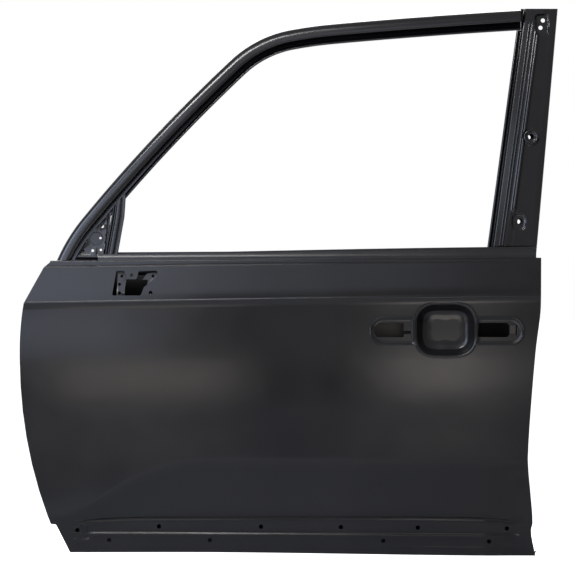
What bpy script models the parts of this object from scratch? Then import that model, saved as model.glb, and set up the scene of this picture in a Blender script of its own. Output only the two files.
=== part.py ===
"""Bare sheet-metal shell of a left-hand front car door.

X runs from the front edge to the rear, -Y is outside, Z is up.
"""

import math

import bmesh
import bpy
from mathutils import Vector

for old in list(bpy.data.objects):
    bpy.data.objects.remove(old, do_unlink=True)

# Sheets and clearances
GAP = 0.0003
HEM_GAP = 0.0005
SKIN_T = 0.0008
INNER_T = 0.0009
SASH_T = 0.0011
REINFORCEMENT_T = 0.0014
HINGE_T = 0.0025

# Outer skin: edges seen from the side
SKIN_LENGTH = 1.0962
FRONT_WIDEST_Z = 0.434
FRONT_TUCK_BELOW = 0.0655
FRONT_TUCK_POWER = 2.2
FRONT_TUCK_ABOVE = 0.0085
FRONT_TOP_CORNER_X = 0.0635
STRIP_FRONT_X = 0.0758
STRIP_FRONT_SLOPE = 0.5
REAR_WAIST = 0.0283
REAR_WAIST_Z = 0.207
REAR_FOOT = 0.0174
BELT_FRONT_Z = 0.6180
BELT_RISE = 0.0065
BOTTOM_FRONT_Z = 0.0080
CHARACTER_FRONT_Z = 0.5320
CHARACTER_RISE = 0.0160
CREASE_Z = 0.1990
STEP_Z = 0.0850
STEP_HEIGHT = 0.0110
RIDGE_Z = 0.0460

# Outer skin: form in depth
BAND_LEAN = 0.020
CHARACTER_UNDERCUT = 0.0030
CHARACTER_RADIUS = 0.0030
SCALLOP_LEAN = 0.28
SCALLOP_REAR_TUCK = 0.020
CREASE_RADIUS = 0.010
JOGGLE = 0.0050
RIDGE_HEIGHT = 0.0025
PLAN_BOW = 0.008
BELT_ROLL = 0.0035
BELT_FLANGE = 0.0095
BELT_START_X = 0.1640
HEM_WIDTH = 0.009
HEM_LAND = 0.016
REAR_ZONE = 0.128

# Outer handle: bowl and the two recessed pods beside it
HANDLE_Z = 0.4757
HANDLE_REAR_SETBACK = 0.2012
BOWL_WIDTH = 0.1254
BOWL_HEIGHT = 0.1109
BOWL_DEPTH = 0.024
POD_HEIGHT = 0.0540
POD_DROP = 0.0020
POD_DEPTH = 0.0032
FRONT_POD_LENGTH = 0.0900
REAR_POD_LENGTH = 0.0960
POD_LAND = 0.0040
LEG_LENGTH = 0.0630
LEG_HEIGHT = 0.0300
SLOT_LENGTH = 0.0150
SLOT_HEIGHT = 0.0062
LOCK_LENGTH = 0.0200
LOCK_HEIGHT = 0.0200

# Small holes of the lower strip
CLIP_RADIUS = 0.0045
BOSS_RADIUS = 0.0046
UPPER_CLIP_Z = 0.0625
UPPER_CLIP_SHARES = (0.2668, 0.4625, 0.6159, 0.7635, 0.9345)
LOWER_CLIP_Z = 0.0335
LOWER_CLIP_SHARES = (0.1710, 0.3645, 0.6971, 0.9000)
FRONT_BOSS_X = 0.1212
FRONT_BOSS_Z = 0.0548

# Mirror cut-out in the band above the character line
MIRROR_X = 0.1940
MIRROR_TOP_Z = 0.6002
MIRROR_BOTTOM_Z = 0.5480
MIRROR_FOOT_WIDTH = 0.0600
MIRROR_FRONT_REACH = 0.0900
MIRROR_TAB_X = 0.2354
MIRROR_TAB_RADIUS = 0.0100

# Inner panel
HINGE_FACE_X = 0.0920
LATCH_FACE_SETBACK = 0.0500
INNER_DEPTH = 0.1080
INNER_BELT_DEPTH = 0.0770
WALL_TOP_DROP = 0.0060
INNER_TOP_RISE = 0.0200
FACE_RADIUS = 0.0080
FLANGE_NOTCH = 0.0040
ACCESS_FRONT_X = 0.3000
ACCESS_MARGIN = 0.0195
ACCESS_Z = 0.3700
ACCESS_HEIGHT = 0.2700
SPEAKER_X = 0.2050
SPEAKER_Z = 0.2000
SPEAKER_RADIUS = 0.0720

# Window frame
FRAME_BELT_Z = 0.6400
FRAME_BELT_Y = 0.0440
FRAME_LEAN = 0.11
FRAME_CURVE = 0.22
SASH_FOOT_X = 0.0790
SASH_FOOT_Z = 0.6255
SASH_FOOT_ANGLE = 66.2
SASH_FOOT_LENGTH = 0.1000
SASH_FOOT_TURN = -15.5
PILLAR_LENGTH = 0.4595
PILLAR_TURN = -7.3
CORNER_LENGTH = 0.1400
CORNER_TURN = -32.6
SHOULDER_LENGTH = 0.0896
SHOULDER_TURN = -5.6
HEADER_TURN = -1.9
SASH_WIDTH = 0.0430
HEADER_END_INSET = 0.0072
REAR_SASH_BOTTOM_Z = 0.6130
REAR_SASH_RISE = 0.0026
REAR_SASH_SETBACK = 0.0091
REAR_SASH_FOOT_WIDTH = 0.1051
REAR_WINDOW_LEAN = 0.1387
REAR_OUTER_LEAN = 0.0925

# Rear sash: round boss at half height, recess at the foot, recess at the top corner
BOSS_HEIGHT_SHARE = 0.4720
BOSS_INSET = 0.0336
LATCH_BOSS_RADIUS = 0.0170
FOOT_RECESS_RISE = 0.0625
FOOT_RECESS_INSET = 0.0435
FOOT_RECESS_WIDTH = 0.0300
FOOT_RECESS_HEIGHT = 0.0350
TOP_RECESS_DROP = 0.0335
TOP_RECESS_INSET = 0.0309
TOP_RECESS_WIDTH = 0.0280
TOP_RECESS_HEIGHT = 0.0450

# Division bar and mirror corner plate
BAR_FOOT_X = 0.1787
BAR_WIDTH = 0.0280
BAR_TOP_X = 0.1955
BAR_TOP_Z = 0.7350
BAR_BOTTOM_Z = 0.2900
BAR_BACKSET = 0.0060
BELT_TAIL = 0.0088
SAIL_FRONT = Vector((0.1150, 0.6300))
SAIL_REAR = Vector((0.1763, 0.6300))
SAIL_TOP = Vector((0.1840, 0.7180))
SAIL_HOLE = Vector((0.1604, 0.6680))
SAIL_HOLE_RADIUS = 0.0142
SAIL_BOW = 0.0055
SAIL_BACKSET = 0.0100
SAIL_RIDGE_ROOM = 0.0140
SAIL_POCKET_DEPTH = 0.0052

# Beams
BEAM_RADIUS = 0.0130
BEAM_WALL = 0.0022
UPPER_BEAM_FRONT_Z = 0.4150
UPPER_BEAM_REAR_Z = 0.3700
LOWER_BEAM_FRONT_Z = 0.2650
LOWER_BEAM_REAR_Z = 0.2500
BEAM_Y = 0.0230
BEAM_BRACKET_T = 0.0022
PAD_WIDTH = 0.0440
PAD_HEIGHT = 0.0200
PAD_CLEARANCE = 0.0008

# Rear glass guide below the belt
GUIDE_TOP_Z = 0.6080
GUIDE_BOTTOM_Z = 0.4200
GUIDE_OFFSET = 0.0040

# Hinges, check link and latch
UPPER_HINGE_Z = 0.4950
LOWER_HINGE_Z = 0.1800
HINGE_Y = 0.0560
HINGE_PLATE_HEIGHT = 0.0900
HINGE_BOLT_SPACING = 0.0480
HINGE_BOLT_RADIUS = 0.0056
CHECK_Z = 0.3450
LATCH_Z = 0.4750


def mix(a, b, t):
    return a + (b - a) * t


def ease(a, b, value):
    """Smooth step from 0 at a to 1 at b."""
    t = min(1.0, max(0.0, (value - a) / (b - a)))
    return t * t * (3 - 2 * t)


def hinge(d, radius):
    """Zero for negative d and d for positive d, with a bend of this radius between."""
    return (d + math.sqrt(d * d + radius * radius)) / 2


def through(knots, t):
    """Smooth line through (t, value) knots, level beyond the ends."""
    ts = [k[0] for k in knots]
    vs = [k[1] for k in knots]
    if t <= ts[0]:
        return vs[0]
    if t >= ts[-1]:
        return vs[-1]
    i = max(k for k in range(len(ts) - 1) if ts[k] <= t)
    slopes = [(vs[k + 1] - vs[k]) / (ts[k + 1] - ts[k]) for k in range(len(ts) - 1)]

    def tangent(k):
        if k == 0 or k == len(ts) - 1:
            return slopes[0 if k == 0 else -1]
        if slopes[k - 1] * slopes[k] <= 0:
            return 0.0
        return 2 * slopes[k - 1] * slopes[k] / (slopes[k - 1] + slopes[k])

    h = ts[i + 1] - ts[i]
    u = (t - ts[i]) / h
    return (
        vs[i] * (1 + 2 * u) * (1 - u) ** 2
        + tangent(i) * h * u * (1 - u) ** 2
        + vs[i + 1] * u * u * (3 - 2 * u)
        + tangent(i + 1) * h * u * u * (u - 1)
    )


# Lines of the outer skin, as heights over the nominal length c
def belt_z(c):
    return BELT_FRONT_Z + BELT_RISE * c / SKIN_LENGTH


def character_z(c):
    return CHARACTER_FRONT_Z + CHARACTER_RISE * c / SKIN_LENGTH


def bottom_z(c):
    return BOTTOM_FRONT_Z * (1 - ease(0.3 * SKIN_LENGTH, SKIN_LENGTH, c))


def step_z(c):
    front = (0.015, STEP_Z - 0.0165)
    rear = (SKIN_LENGTH - 0.015, STEP_Z - 0.0145)
    return through((front, (0.27, STEP_Z), (0.80, STEP_Z + 0.0004), (0.97, STEP_Z - 0.002), rear), c)


def step_foot_z(c):
    return step_z(c) - mix(0.0030, STEP_HEIGHT, ease(0.0, 0.24, c))


def ridge_z(c):
    return RIDGE_Z + 0.002 - 0.007 * c / SKIN_LENGTH


def crease_z(c):
    front = ((0.0, step_z(0) + 0.004), (0.095, STEP_Z + 0.002))
    rise = ((0.306, CREASE_Z - 0.009), (0.39, CREASE_Z + 0.003))
    line = through(front + rise + ((0.70, CREASE_Z), (SKIN_LENGTH, CREASE_Z - 0.004)), c)
    return max(line, step_z(c) + 0.004)


def front_edge(z):
    """How far the front edge stands behind the foremost point at this height."""
    strip_top = STEP_Z - 0.0175
    if z < strip_top:
        return STRIP_FRONT_X + STRIP_FRONT_SLOPE * (strip_top - z)
    if z < FRONT_WIDEST_Z:
        return FRONT_TUCK_BELOW * ((FRONT_WIDEST_Z - z) / (FRONT_WIDEST_Z - strip_top)) ** FRONT_TUCK_POWER
    corner = ((CHARACTER_FRONT_Z, FRONT_TUCK_ABOVE), (BELT_FRONT_Z - 0.011, 0.79 * FRONT_TOP_CORNER_X))
    if z < CHARACTER_FRONT_Z:
        return FRONT_TUCK_ABOVE * ((z - FRONT_WIDEST_Z) / (CHARACTER_FRONT_Z - FRONT_WIDEST_Z)) ** 2
    if z < corner[1][0]:
        return mix(corner[0][1], corner[1][1], (z - corner[0][0]) / (corner[1][0] - corner[0][0]))
    return mix(corner[1][1], FRONT_TOP_CORNER_X, (z - corner[1][0]) / 0.011)


def rear_edge(z):
    """How far the rear edge stands before its rearmost point at this height."""
    waist = REAR_WAIST
    knots = (
        (0.0, 0.4 * waist),
        (STEP_Z - 0.030, 0.0205),
        (STEP_Z - 0.016, REAR_FOOT),
        (0.131, 0.78 * waist),
        (REAR_WAIST_Z, waist),
        (0.249, 0.93 * waist),
        (0.366, 0.63 * waist),
        (FRONT_WIDEST_Z, 0.41 * waist),
        (CHARACTER_FRONT_Z, 0.03 * waist),
        (BELT_FRONT_Z, 0.0),
    )
    return through(knots, z)


def place_x(c, z):
    """Where the nominal length c lies at height z: the end zones follow the edges."""
    front = 1 - ease(HEM_LAND, 0.20, c)
    rear = ease(SKIN_LENGTH - REAR_ZONE, SKIN_LENGTH - HEM_LAND, c)
    return c + front * front_edge(z) - rear * rear_edge(z)


def nominal(x, z):
    """The nominal length that place_x puts at x."""
    low, high = 0.0, SKIN_LENGTH
    for _ in range(40):
        middle = (low + high) / 2
        if place_x(middle, z) < x:
            low = middle
        else:
            high = middle
    return (low + high) / 2


def skin_y(x, z):
    """Outer face of the skin, without the handle recess and the hems."""
    c = min(max(x, 0.0), SKIN_LENGTH)
    above = z - character_z(c)
    lean = BAND_LEAN / (BELT_FRONT_Z - CHARACTER_FRONT_Z)
    y = lean * hinge(above, CHARACTER_RADIUS)
    y += CHARACTER_UNDERCUT * ease(0.0, 0.014, -above)
    y -= 0.006 * ease(0.0, 0.16, -above) * (1 - ease(0.16, 0.33, -above))
    scallop = SCALLOP_LEAN * hinge(crease_z(c) - z, CREASE_RADIUS)
    y += scallop * (1 - 0.35 * ease(0.0, 0.16, crease_z(c) - z))
    y += SCALLOP_REAR_TUCK * ease(SKIN_LENGTH - 0.12, SKIN_LENGTH - 0.045, c) * ease(0.0, 0.05, crease_z(c) - z)
    inside = ease(0.085, 0.16, c) * (1 - ease(SKIN_LENGTH - 0.075, SKIN_LENGTH - 0.03, c))
    y += JOGGLE * inside * ease(0, 1, (step_z(c) - z) / (step_z(c) - step_foot_z(c)))
    ridge = max(0.0, 1 - abs(z - ridge_z(c)) / 0.007)
    y -= RIDGE_HEIGHT * ridge * inside
    return y + PLAN_BOW * ((x - SKIN_LENGTH / 2) / (SKIN_LENGTH / 2)) ** 2


def frame_y(z):
    """Outer face of the window frame, which leans in towards the roof."""
    h = z - FRAME_BELT_Z
    return FRAME_BELT_Y + FRAME_LEAN * h + FRAME_CURVE * h * h


def inner_face_y(z):
    """Flat face of the inner panel towards the cabin."""
    return mix(INNER_DEPTH, INNER_BELT_DEPTH, ease(0.50, 0.60, z))


shell = bpy.data.objects.new("door_shell", None)
bpy.context.scene.collection.objects.link(shell)
latch_face_x = SKIN_LENGTH - LATCH_FACE_SETBACK
handle_x = SKIN_LENGTH - HANDLE_REAR_SETBACK
shell.location = (-HINGE_FACE_X, -HINGE_Y, -UPPER_HINGE_Z)


def coat(name, colour, roughness):
    """Painted metal: colour as linear RGB."""
    made = bpy.data.materials.new(name)
    made.use_nodes = True
    shader = made.node_tree.nodes["Principled BSDF"]
    shader.inputs["Base Color"].default_value = (*colour, 1)
    shader.inputs["Roughness"].default_value = roughness
    shader.inputs["Metallic"].default_value = 0.35
    return made


skin_coat = coat("e_coat_outer_skin", (0.028, 0.029, 0.032), 0.28)
inner_coat = coat("e_coat_inner_panel", (0.022, 0.023, 0.025), 0.34)
frame_coat = coat("e_coat_window_frame", (0.040, 0.042, 0.046), 0.26)
plate_coat = coat("e_coat_reinforcement", (0.060, 0.061, 0.064), 0.42)
beam_coat = coat("e_coat_beam_tube", (0.045, 0.046, 0.048), 0.38)
pad_black = coat("anti_flutter_sealant", (0.015, 0.015, 0.016), 0.85)
pad_black.node_tree.nodes["Principled BSDF"].inputs["Metallic"].default_value = 0


def add_object(name, points, faces, finish, smooth=False):
    mesh = bpy.data.meshes.new(name)
    mesh.from_pydata([tuple(p) for p in points], [], faces)
    mesh.materials.append(finish)
    work = bmesh.new()
    work.from_mesh(mesh)
    bmesh.ops.triangulate(work, faces=[f for f in work.faces if len(f.verts) > 3])
    work.to_mesh(mesh)
    work.free()
    mesh.polygons.foreach_set("use_smooth", [smooth] * len(mesh.polygons))
    made = bpy.data.objects.new(name, mesh)
    bpy.context.scene.collection.objects.link(made)
    made.parent = shell
    return made


def thicken(sheet, thickness):
    """Sheet metal behind the drawn face, folds kept at even thickness."""
    solid = sheet.modifiers.new("thickness", "SOLIDIFY")
    solid.thickness = thickness
    solid.offset = -1
    solid.use_even_offset = True
    solid.use_quality_normals = True
    return sheet


def combine(target, tool, operation="DIFFERENCE"):
    tool.hide_render = True
    tool.display_type = "WIRE"
    step = target.modifiers.new(tool.name, "BOOLEAN")
    step.operation = operation
    step.object = tool
    step.solver = "EXACT"


def prism(name, outline, low, high, axis="Y"):
    """Closed body with this outline, given as (x, z) for axis Y, (y, z) for axis X or (x, y) for axis Z."""
    spread = {
        "Y": lambda a, b, d: (a, d, b),
        "X": lambda a, b, d: (d, a, b),
        "Z": lambda a, b, d: (a, b, d),
    }[axis]
    count = len(outline)
    points = [spread(a, b, low) for a, b in outline] + [spread(a, b, high) for a, b in outline]
    faces = [[k, (k + 1) % count, (k + 1) % count + count, k + count] for k in range(count)]
    faces += [list(range(count))[::-1], list(range(count, 2 * count))]
    made = add_object(name, points, faces, plate_coat)
    work = bmesh.new()
    work.from_mesh(made.data)
    bmesh.ops.recalc_face_normals(work, faces=work.faces)
    work.to_mesh(made.data)
    work.free()
    return made


def circle(x, z, radius, steps=10):
    turns = [2 * math.pi * (k + 0.5) / steps for k in range(steps)]
    return [(x + radius * math.cos(a), z + radius * math.sin(a)) for a in turns]


def rounded(corners, radius, steps=3):
    """Closed outline with each corner turned into an arc of this radius."""
    outline = []
    count = len(corners)
    for k in range(count):
        before, here, after = (Vector(corners[(k + d) % count]) for d in (-1, 0, 1))
        outline += bend(before, here, after, radius, steps)
    return outline


def bend(before, here, after, radius, steps):
    into = (before - here).normalized()
    out = (after - here).normalized()
    angle = into.angle(out)
    if angle > math.radians(176):
        return [tuple(here)]
    reach = min(radius / math.tan(angle / 2), 0.45 * (before - here).length, 0.45 * (after - here).length)
    start = here + into * reach
    end = here + out * reach
    points = []
    for k in range(steps + 1):
        t = k / steps
        points.append(tuple(start * (1 - t) ** 2 + here * (2 * t * (1 - t)) + end * t * t))
    return points


def box_outline(x, z, width, height, radius):
    corners = [(x - width / 2, z - height / 2), (x + width / 2, z - height / 2)]
    corners += [(x + width / 2, z + height / 2), (x - width / 2, z + height / 2)]
    return rounded(corners, radius)


def swept(name, section, thickness, stations, finish, smooth=False):
    """Folded sheet: the section's (a, b) line, thickness centred, carried along (origin, axis_a, axis_b)."""
    line = [Vector(p) for p in section]
    left, right = [], []
    for k, here in enumerate(line):
        legs = []
        if k:
            legs.append((here - line[k - 1]).normalized())
        if k < len(line) - 1:
            legs.append((line[k + 1] - here).normalized())
        normals = [Vector((-leg.y, leg.x)) for leg in legs]
        normal = sum(normals, Vector((0, 0))).normalized()
        shift = normal * thickness / 2 / max(0.45, normal.dot(normals[0]))
        left.append(here + shift)
        right.append(here - shift)
    loop = right + left[::-1]
    count = len(loop)
    points = [o + a * p.x + b * p.y for o, a, b in stations for p in loop]
    faces = []
    for s in range(len(stations) - 1):
        for k in range(count):
            n = (k + 1) % count
            faces.append([s * count + k, s * count + n, (s + 1) * count + n, (s + 1) * count + k])
    half = count // 2
    last = (len(stations) - 1) * count
    for k in range(half - 1):
        quad = [k, k + 1, count - 2 - k, count - 1 - k]
        faces.append(quad[::-1])
        faces.append([last + v for v in quad])
    made = add_object(name, points, faces, finish, smooth)
    work = bmesh.new()
    work.from_mesh(made.data)
    bmesh.ops.recalc_face_normals(work, faces=work.faces)
    work.to_mesh(made.data)
    work.free()
    return made


class Sheet:
    """One pressed sheet as a grid, with patches where loops of another shape replace a block of cells."""

    def __init__(self, columns, rows, point):
        self.columns, self.rows, self.point = columns, rows, point
        self.points, self.faces, self.between, self.blocks = [], [], {}, []
        self.grid = [[self.add(point(c, r)) for r in rows] for c in columns]

    def add(self, p):
        self.points.append(Vector(p))
        return len(self.points) - 1

    def face(self, *corners):
        loop = []
        for k, a in enumerate(corners):
            b = corners[(k + 1) % len(corners)]
            loop.append(a)
            loop += self.between.get((a, b), self.between.get((b, a), [])[::-1])
        self.faces.append(loop)

    def split(self, i, j, di, dj, cuts):
        """Puts points on the edge from grid point i, j towards i + di, j + dj."""
        a, b = self.grid[i][j], self.grid[i + di][j + dj]
        if (b, a) in self.between:
            return [a] + self.between[(b, a)][::-1]
        made = []
        for k in range(1, cuts + 1):
            t = k / (cuts + 1)
            c = mix(self.columns[i], self.columns[i + di], t)
            made.append(self.add(self.point(c, mix(self.rows[j], self.rows[j + dj], t))))
        self.between[(a, b)] = made
        return [a] + made

    def patch(self, i0, i1, j0, j1, cuts, rings, closed=True):
        """Replaces a block by rings, each a function from an angle to a point."""
        self.blocks.append((i0, i1, j0, j1))
        loop = []
        for i in range(i0, i1):
            loop += self.split(i, j0, 1, 0, cuts)
        for j in range(j0, j1):
            loop += self.split(i1, j, 0, 1, cuts)
        for i in range(i1, i0, -1):
            loop += self.split(i, j1, -1, 0, cuts)
        for j in range(j1, j0, -1):
            loop += self.split(i0, j, 0, -1, cuts)
        low = self.points[self.grid[i0][j0]]
        high = self.points[self.grid[i1][j1]]
        centre = (low + high) / 2
        turns = [math.atan2(self.points[v].z - centre.z, self.points[v].x - centre.x) for v in loop]
        for ring in rings:
            inner = [self.add(ring(turn)) for turn in turns]
            for k in range(len(loop)):
                n = (k + 1) % len(loop)
                self.faces.append([loop[k], loop[n], inner[n], inner[k]])
            loop = inner
        if closed:
            self.faces.append(loop)

    def fill(self):
        for i in range(len(self.columns) - 1):
            for j in range(len(self.rows) - 1):
                if any(a <= i < b and c <= j < d for a, b, c, d in self.blocks):
                    continue
                g = self.grid
                self.face(g[i][j], g[i + 1][j], g[i + 1][j + 1], g[i][j + 1])

    def skirt(self, path, *shifts):
        """Strips of faces along a boundary path: each shift gives the next point from the last."""
        line = path
        for shift in shifts:
            more = [self.add(shift(k, self.points[v])) for k, v in enumerate(line)]
            for k in range(len(line) - 1):
                self.faces.append([line[k + 1], line[k], more[k], more[k + 1]])
            line = more


def radius_of(turn, half_width, half_height, power=4.0):
    """Distance from the centre of a rounded rectangle to its edge in this direction."""
    across = abs(math.cos(turn) / half_width) ** power
    return (across + abs(math.sin(turn) / half_height) ** power) ** (-1 / power)


# Outer skin: one stamping. Columns are nominal lengths, rows are feature lines from bottom to belt.
bowl_left = handle_x - BOWL_WIDTH / 2 - POD_LAND / 2
bowl_right = handle_x + BOWL_WIDTH / 2 + POD_LAND / 2
front_pod_end = bowl_left - FRONT_POD_LENGTH - POD_LAND
rear_pod_end = bowl_right + REAR_POD_LENGTH + POD_LAND
marks = [nominal(x, HANDLE_Z) for x in (front_pod_end, bowl_left, bowl_right, rear_pod_end)]


def spaced(start, end, count):
    """Count even steps from start, end left out."""
    return [mix(start, end, k / count) for k in range(count)]


skin_columns = [0.0] + spaced(HEM_LAND, ACCESS_FRONT_X, 6) + spaced(ACCESS_FRONT_X, marks[0], 5)
for start, end, count in zip(marks, marks[1:], (2, 3, 2)):
    skin_columns += spaced(start, end, count)
skin_columns += [marks[3], SKIN_LENGTH - HEM_LAND, SKIN_LENGTH]
block_low = HANDLE_Z - BOWL_HEIGHT / 2 - 0.006
pod_low = HANDLE_Z - POD_DROP - POD_HEIGHT / 2 - 0.005
pod_high = HANDLE_Z - POD_DROP + POD_HEIGHT / 2 + 0.005
skin_lines = [
    bottom_z,
    lambda c: bottom_z(c) + HEM_LAND - 0.003,
    lambda c: ridge_z(c) - 0.007,
    ridge_z,
    lambda c: ridge_z(c) + 0.007,
    step_foot_z,
    step_z,
    lambda c: mix(step_z(c), crease_z(c), 0.35),
    lambda c: mix(step_z(c), crease_z(c), 0.72),
    crease_z,
    lambda c: crease_z(c) + 0.012,
    lambda c: mix(crease_z(c) + 0.012, block_low, 0.3),
    lambda c: mix(crease_z(c) + 0.012, block_low, 0.65),
    lambda c: block_low,
    lambda c: pod_low,
    lambda c: (pod_low + pod_high) / 2,
    lambda c: pod_high,
    lambda c: character_z(c) - 0.010,
    lambda c: character_z(c) - 0.002,
    lambda c: character_z(c) + 0.002,
    lambda c: character_z(c) + 0.007,
    lambda c: mix(character_z(c), belt_z(c), 0.45),
    lambda c: belt_z(c) - 0.016,
    belt_z,
]


def line_z(lines, c, r):
    j = min(int(r), len(lines) - 2)
    return mix(lines[j](c), lines[j + 1](c), r - j)


def skin_point(c, r):
    z = line_z(skin_lines, c, r)
    x = place_x(c, z)
    return Vector((x, skin_y(x, z), z))


skin = Sheet(skin_columns, list(range(len(skin_lines))), skin_point)
first = skin_columns.index(marks[0])


def recess_ring(x, z, half_width, half_height, depth, power):
    """One loop of a recess drawn on the skin, depth counted inwards from it."""

    def ring(turn):
        r = radius_of(turn, half_width, half_height, power)
        px, pz = x + r * math.cos(turn), z + r * math.sin(turn)
        return Vector((px, skin_y(px, pz) + depth, pz))

    return ring


# (inset from the rim, depth) of the bowl's wall and of a pod's wall
bowl_steps = ((-0.0015, 0.0), (0.001, 0.0008), (0.004, 0.004))
bowl_steps += ((0.0085, 0.012), (0.0145, 0.0195), (0.023, 0.0232))
pod_steps = ((-0.0005, 0.0), (0.0012, 0.0006), (0.0034, POD_DEPTH - 0.0006), (0.0052, POD_DEPTH))
deepest = bowl_steps[-1][1]
bowl_rings = []
for inset, depth in bowl_steps:
    half_width, half_height = BOWL_WIDTH / 2 - inset, BOWL_HEIGHT / 2 - inset
    bowl_rings.append(recess_ring(handle_x, HANDLE_Z, half_width, half_height, depth * BOWL_DEPTH / deepest, 3.2))
skin.patch(first + 2, first + 5, 13, 17, 3, bowl_rings)
for start, end, x, length in (
    (first, first + 2, bowl_left - POD_LAND / 2 - FRONT_POD_LENGTH / 2, FRONT_POD_LENGTH),
    (first + 5, first + 7, bowl_right + POD_LAND / 2 + REAR_POD_LENGTH / 2, REAR_POD_LENGTH),
):
    pod_rings = [
        recess_ring(x, HANDLE_Z - POD_DROP, length / 2 - inset, POD_HEIGHT / 2 - inset, depth, 4.5)
        for inset, depth in pod_steps
    ]
    skin.patch(start, end, 14, 16, 3, pod_rings)
skin.fill()
top = len(skin_lines) - 1
hem_depth = 2 * SKIN_T + INNER_T + 2 * HEM_GAP
ends = len(skin_columns) - 1
hem_path = [skin.grid[0][j] for j in range(top, 0, -1)] + [skin.grid[i][0] for i in range(ends)]
hem_path += [skin.grid[ends][j] for j in range(top + 1)]


hem_roots = [skin.grid[1][j] for j in range(top, 0, -1)] + [skin.grid[1][1]]
hem_roots += [skin.grid[i][1] for i in range(1, ends)] + [skin.grid[ends - 1][1]]
hem_roots += [skin.grid[ends - 1][j] for j in range(1, top + 1)]


def hem_return(k, p):
    """End of the hem's return: part of the way from the edge to the skin's next line, at the fold's depth."""
    edge, root = skin.points[hem_path[k]], skin.points[hem_roots[k]]
    return mix(edge, root, HEM_WIDTH / HEM_LAND) + Vector((0, hem_depth, 0))


def moved(y, z=0.0):
    return lambda k, p: p + Vector((0, y, z))


skin.skirt(hem_path, moved(hem_depth), hem_return)
roll_path = [skin.grid[i][top] for i in range(ends, -1, -1)]
skin.skirt(
    roll_path,
    moved(BELT_ROLL * 0.4, BELT_ROLL * 0.75),
    moved(BELT_ROLL * 0.6, BELT_ROLL * 0.25),
    moved(BELT_FLANGE - BELT_ROLL),
)
outer_skin = thicken(add_object("outer_skin", skin.points, skin.faces, skin_coat), SKIN_T)


def mirror_outline():
    """Two lobes with a tab between, in the band above the character line."""
    x, low, high = MIRROR_X, MIRROR_BOTTOM_Z, MIRROR_TOP_Z
    tab_z = high - 0.018
    left = [(x, low), (x + MIRROR_FOOT_WIDTH, low)]
    right = [(x + 0.75 * MIRROR_FRONT_REACH, low + 0.018), (x + MIRROR_FRONT_REACH + 0.006, high - 0.012)]
    right += [(x + MIRROR_FRONT_REACH + 0.005, high), (MIRROR_TAB_X + 1.5 * MIRROR_TAB_RADIUS, high)]
    tab = [(MIRROR_TAB_X + MIRROR_TAB_RADIUS, tab_z), (MIRROR_TAB_X - MIRROR_TAB_RADIUS, tab_z)]
    return left + right + tab + [(MIRROR_TAB_X - 1.5 * MIRROR_TAB_RADIUS, high), (x + 0.009, high)]


cuts = [prism("mirror_cutter", rounded(mirror_outline(), 0.004, 2), -0.05, 0.06)]
cuts.append(prism("mirror_tab_hole", circle(MIRROR_TAB_X, MIRROR_TOP_Z - 0.0092, 0.0034, 8), -0.05, 0.06))
cuts.append(prism("mirror_screw_hole", circle(MIRROR_X + 0.0813, MIRROR_BOTTOM_Z + 0.006, 0.0040, 8), -0.05, 0.06))
front_pod_x = bowl_left - POD_LAND / 2 - FRONT_POD_LENGTH / 2
rear_pod_x = bowl_right + POD_LAND / 2 + REAR_POD_LENGTH / 2
leg_z = HANDLE_Z - POD_DROP + 0.0020
front_leg_x = front_pod_x - 0.0080
rear_leg_x = rear_pod_x - 0.0150
leg_top = leg_z + LEG_HEIGHT / 2
leg_low = leg_z - LEG_HEIGHT / 2
front_leg_end = front_leg_x + LEG_LENGTH / 2
slot_low = leg_z - SLOT_HEIGHT - 0.002
front_leg = [
    (front_leg_x - LEG_LENGTH / 2, leg_low),
    (front_leg_end, leg_low),
    (front_leg_end, slot_low),
    (front_leg_end + SLOT_LENGTH, slot_low),
    (front_leg_end + SLOT_LENGTH, slot_low + SLOT_HEIGHT),
    (front_leg_end, slot_low + SLOT_HEIGHT),
    (front_leg_end, leg_top),
    (front_leg_x - LEG_LENGTH / 2, leg_top),
]
rear_leg_end = rear_leg_x + LEG_LENGTH / 2
rear_leg = [
    (rear_leg_x - LEG_LENGTH / 2, leg_low),
    (rear_leg_end, leg_low),
    (rear_leg_end, leg_z - LOCK_HEIGHT / 2),
    (rear_leg_end + LOCK_LENGTH, leg_z - LOCK_HEIGHT / 2),
    (rear_leg_end + LOCK_LENGTH, leg_z + LOCK_HEIGHT / 2),
    (rear_leg_end, leg_z + LOCK_HEIGHT / 2),
    (rear_leg_end, leg_top),
    (rear_leg_x - LEG_LENGTH / 2, leg_top),
]
leg_cuts = [
    prism("front_leg_cutter", rounded(front_leg, 0.003, 2), -0.05, 0.06),
    prism("rear_leg_cutter", rounded(rear_leg, 0.003, 2), -0.05, 0.06),
]
for name, shares, z, fall in (
    ("upper", UPPER_CLIP_SHARES, UPPER_CLIP_Z, 0.006),
    ("lower", LOWER_CLIP_SHARES, LOWER_CLIP_Z, 0.004),
):
    for k, share in enumerate(shares):
        hole = circle(share * SKIN_LENGTH, z - fall * share ** 3, CLIP_RADIUS, 8)
        cuts.append(prism(f"{name}_clip_{k}", hole, 0, 0.09))
cuts.append(prism("front_boss_hole", circle(FRONT_BOSS_X, FRONT_BOSS_Z, BOSS_RADIUS, 8), 0, 0.09))
for cutter in cuts + leg_cuts:
    combine(outer_skin, cutter)

# Inner panel: a deep tray on the skin's own lines. Its flange lies in the hem, flat walls carry the hinges
# and the latch.
flange_drop = SKIN_T + HEM_GAP
depth_steps = (0, 0, 0.10, 0.90)
wall_top_z = BELT_FRONT_Z - WALL_TOP_DROP


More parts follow.
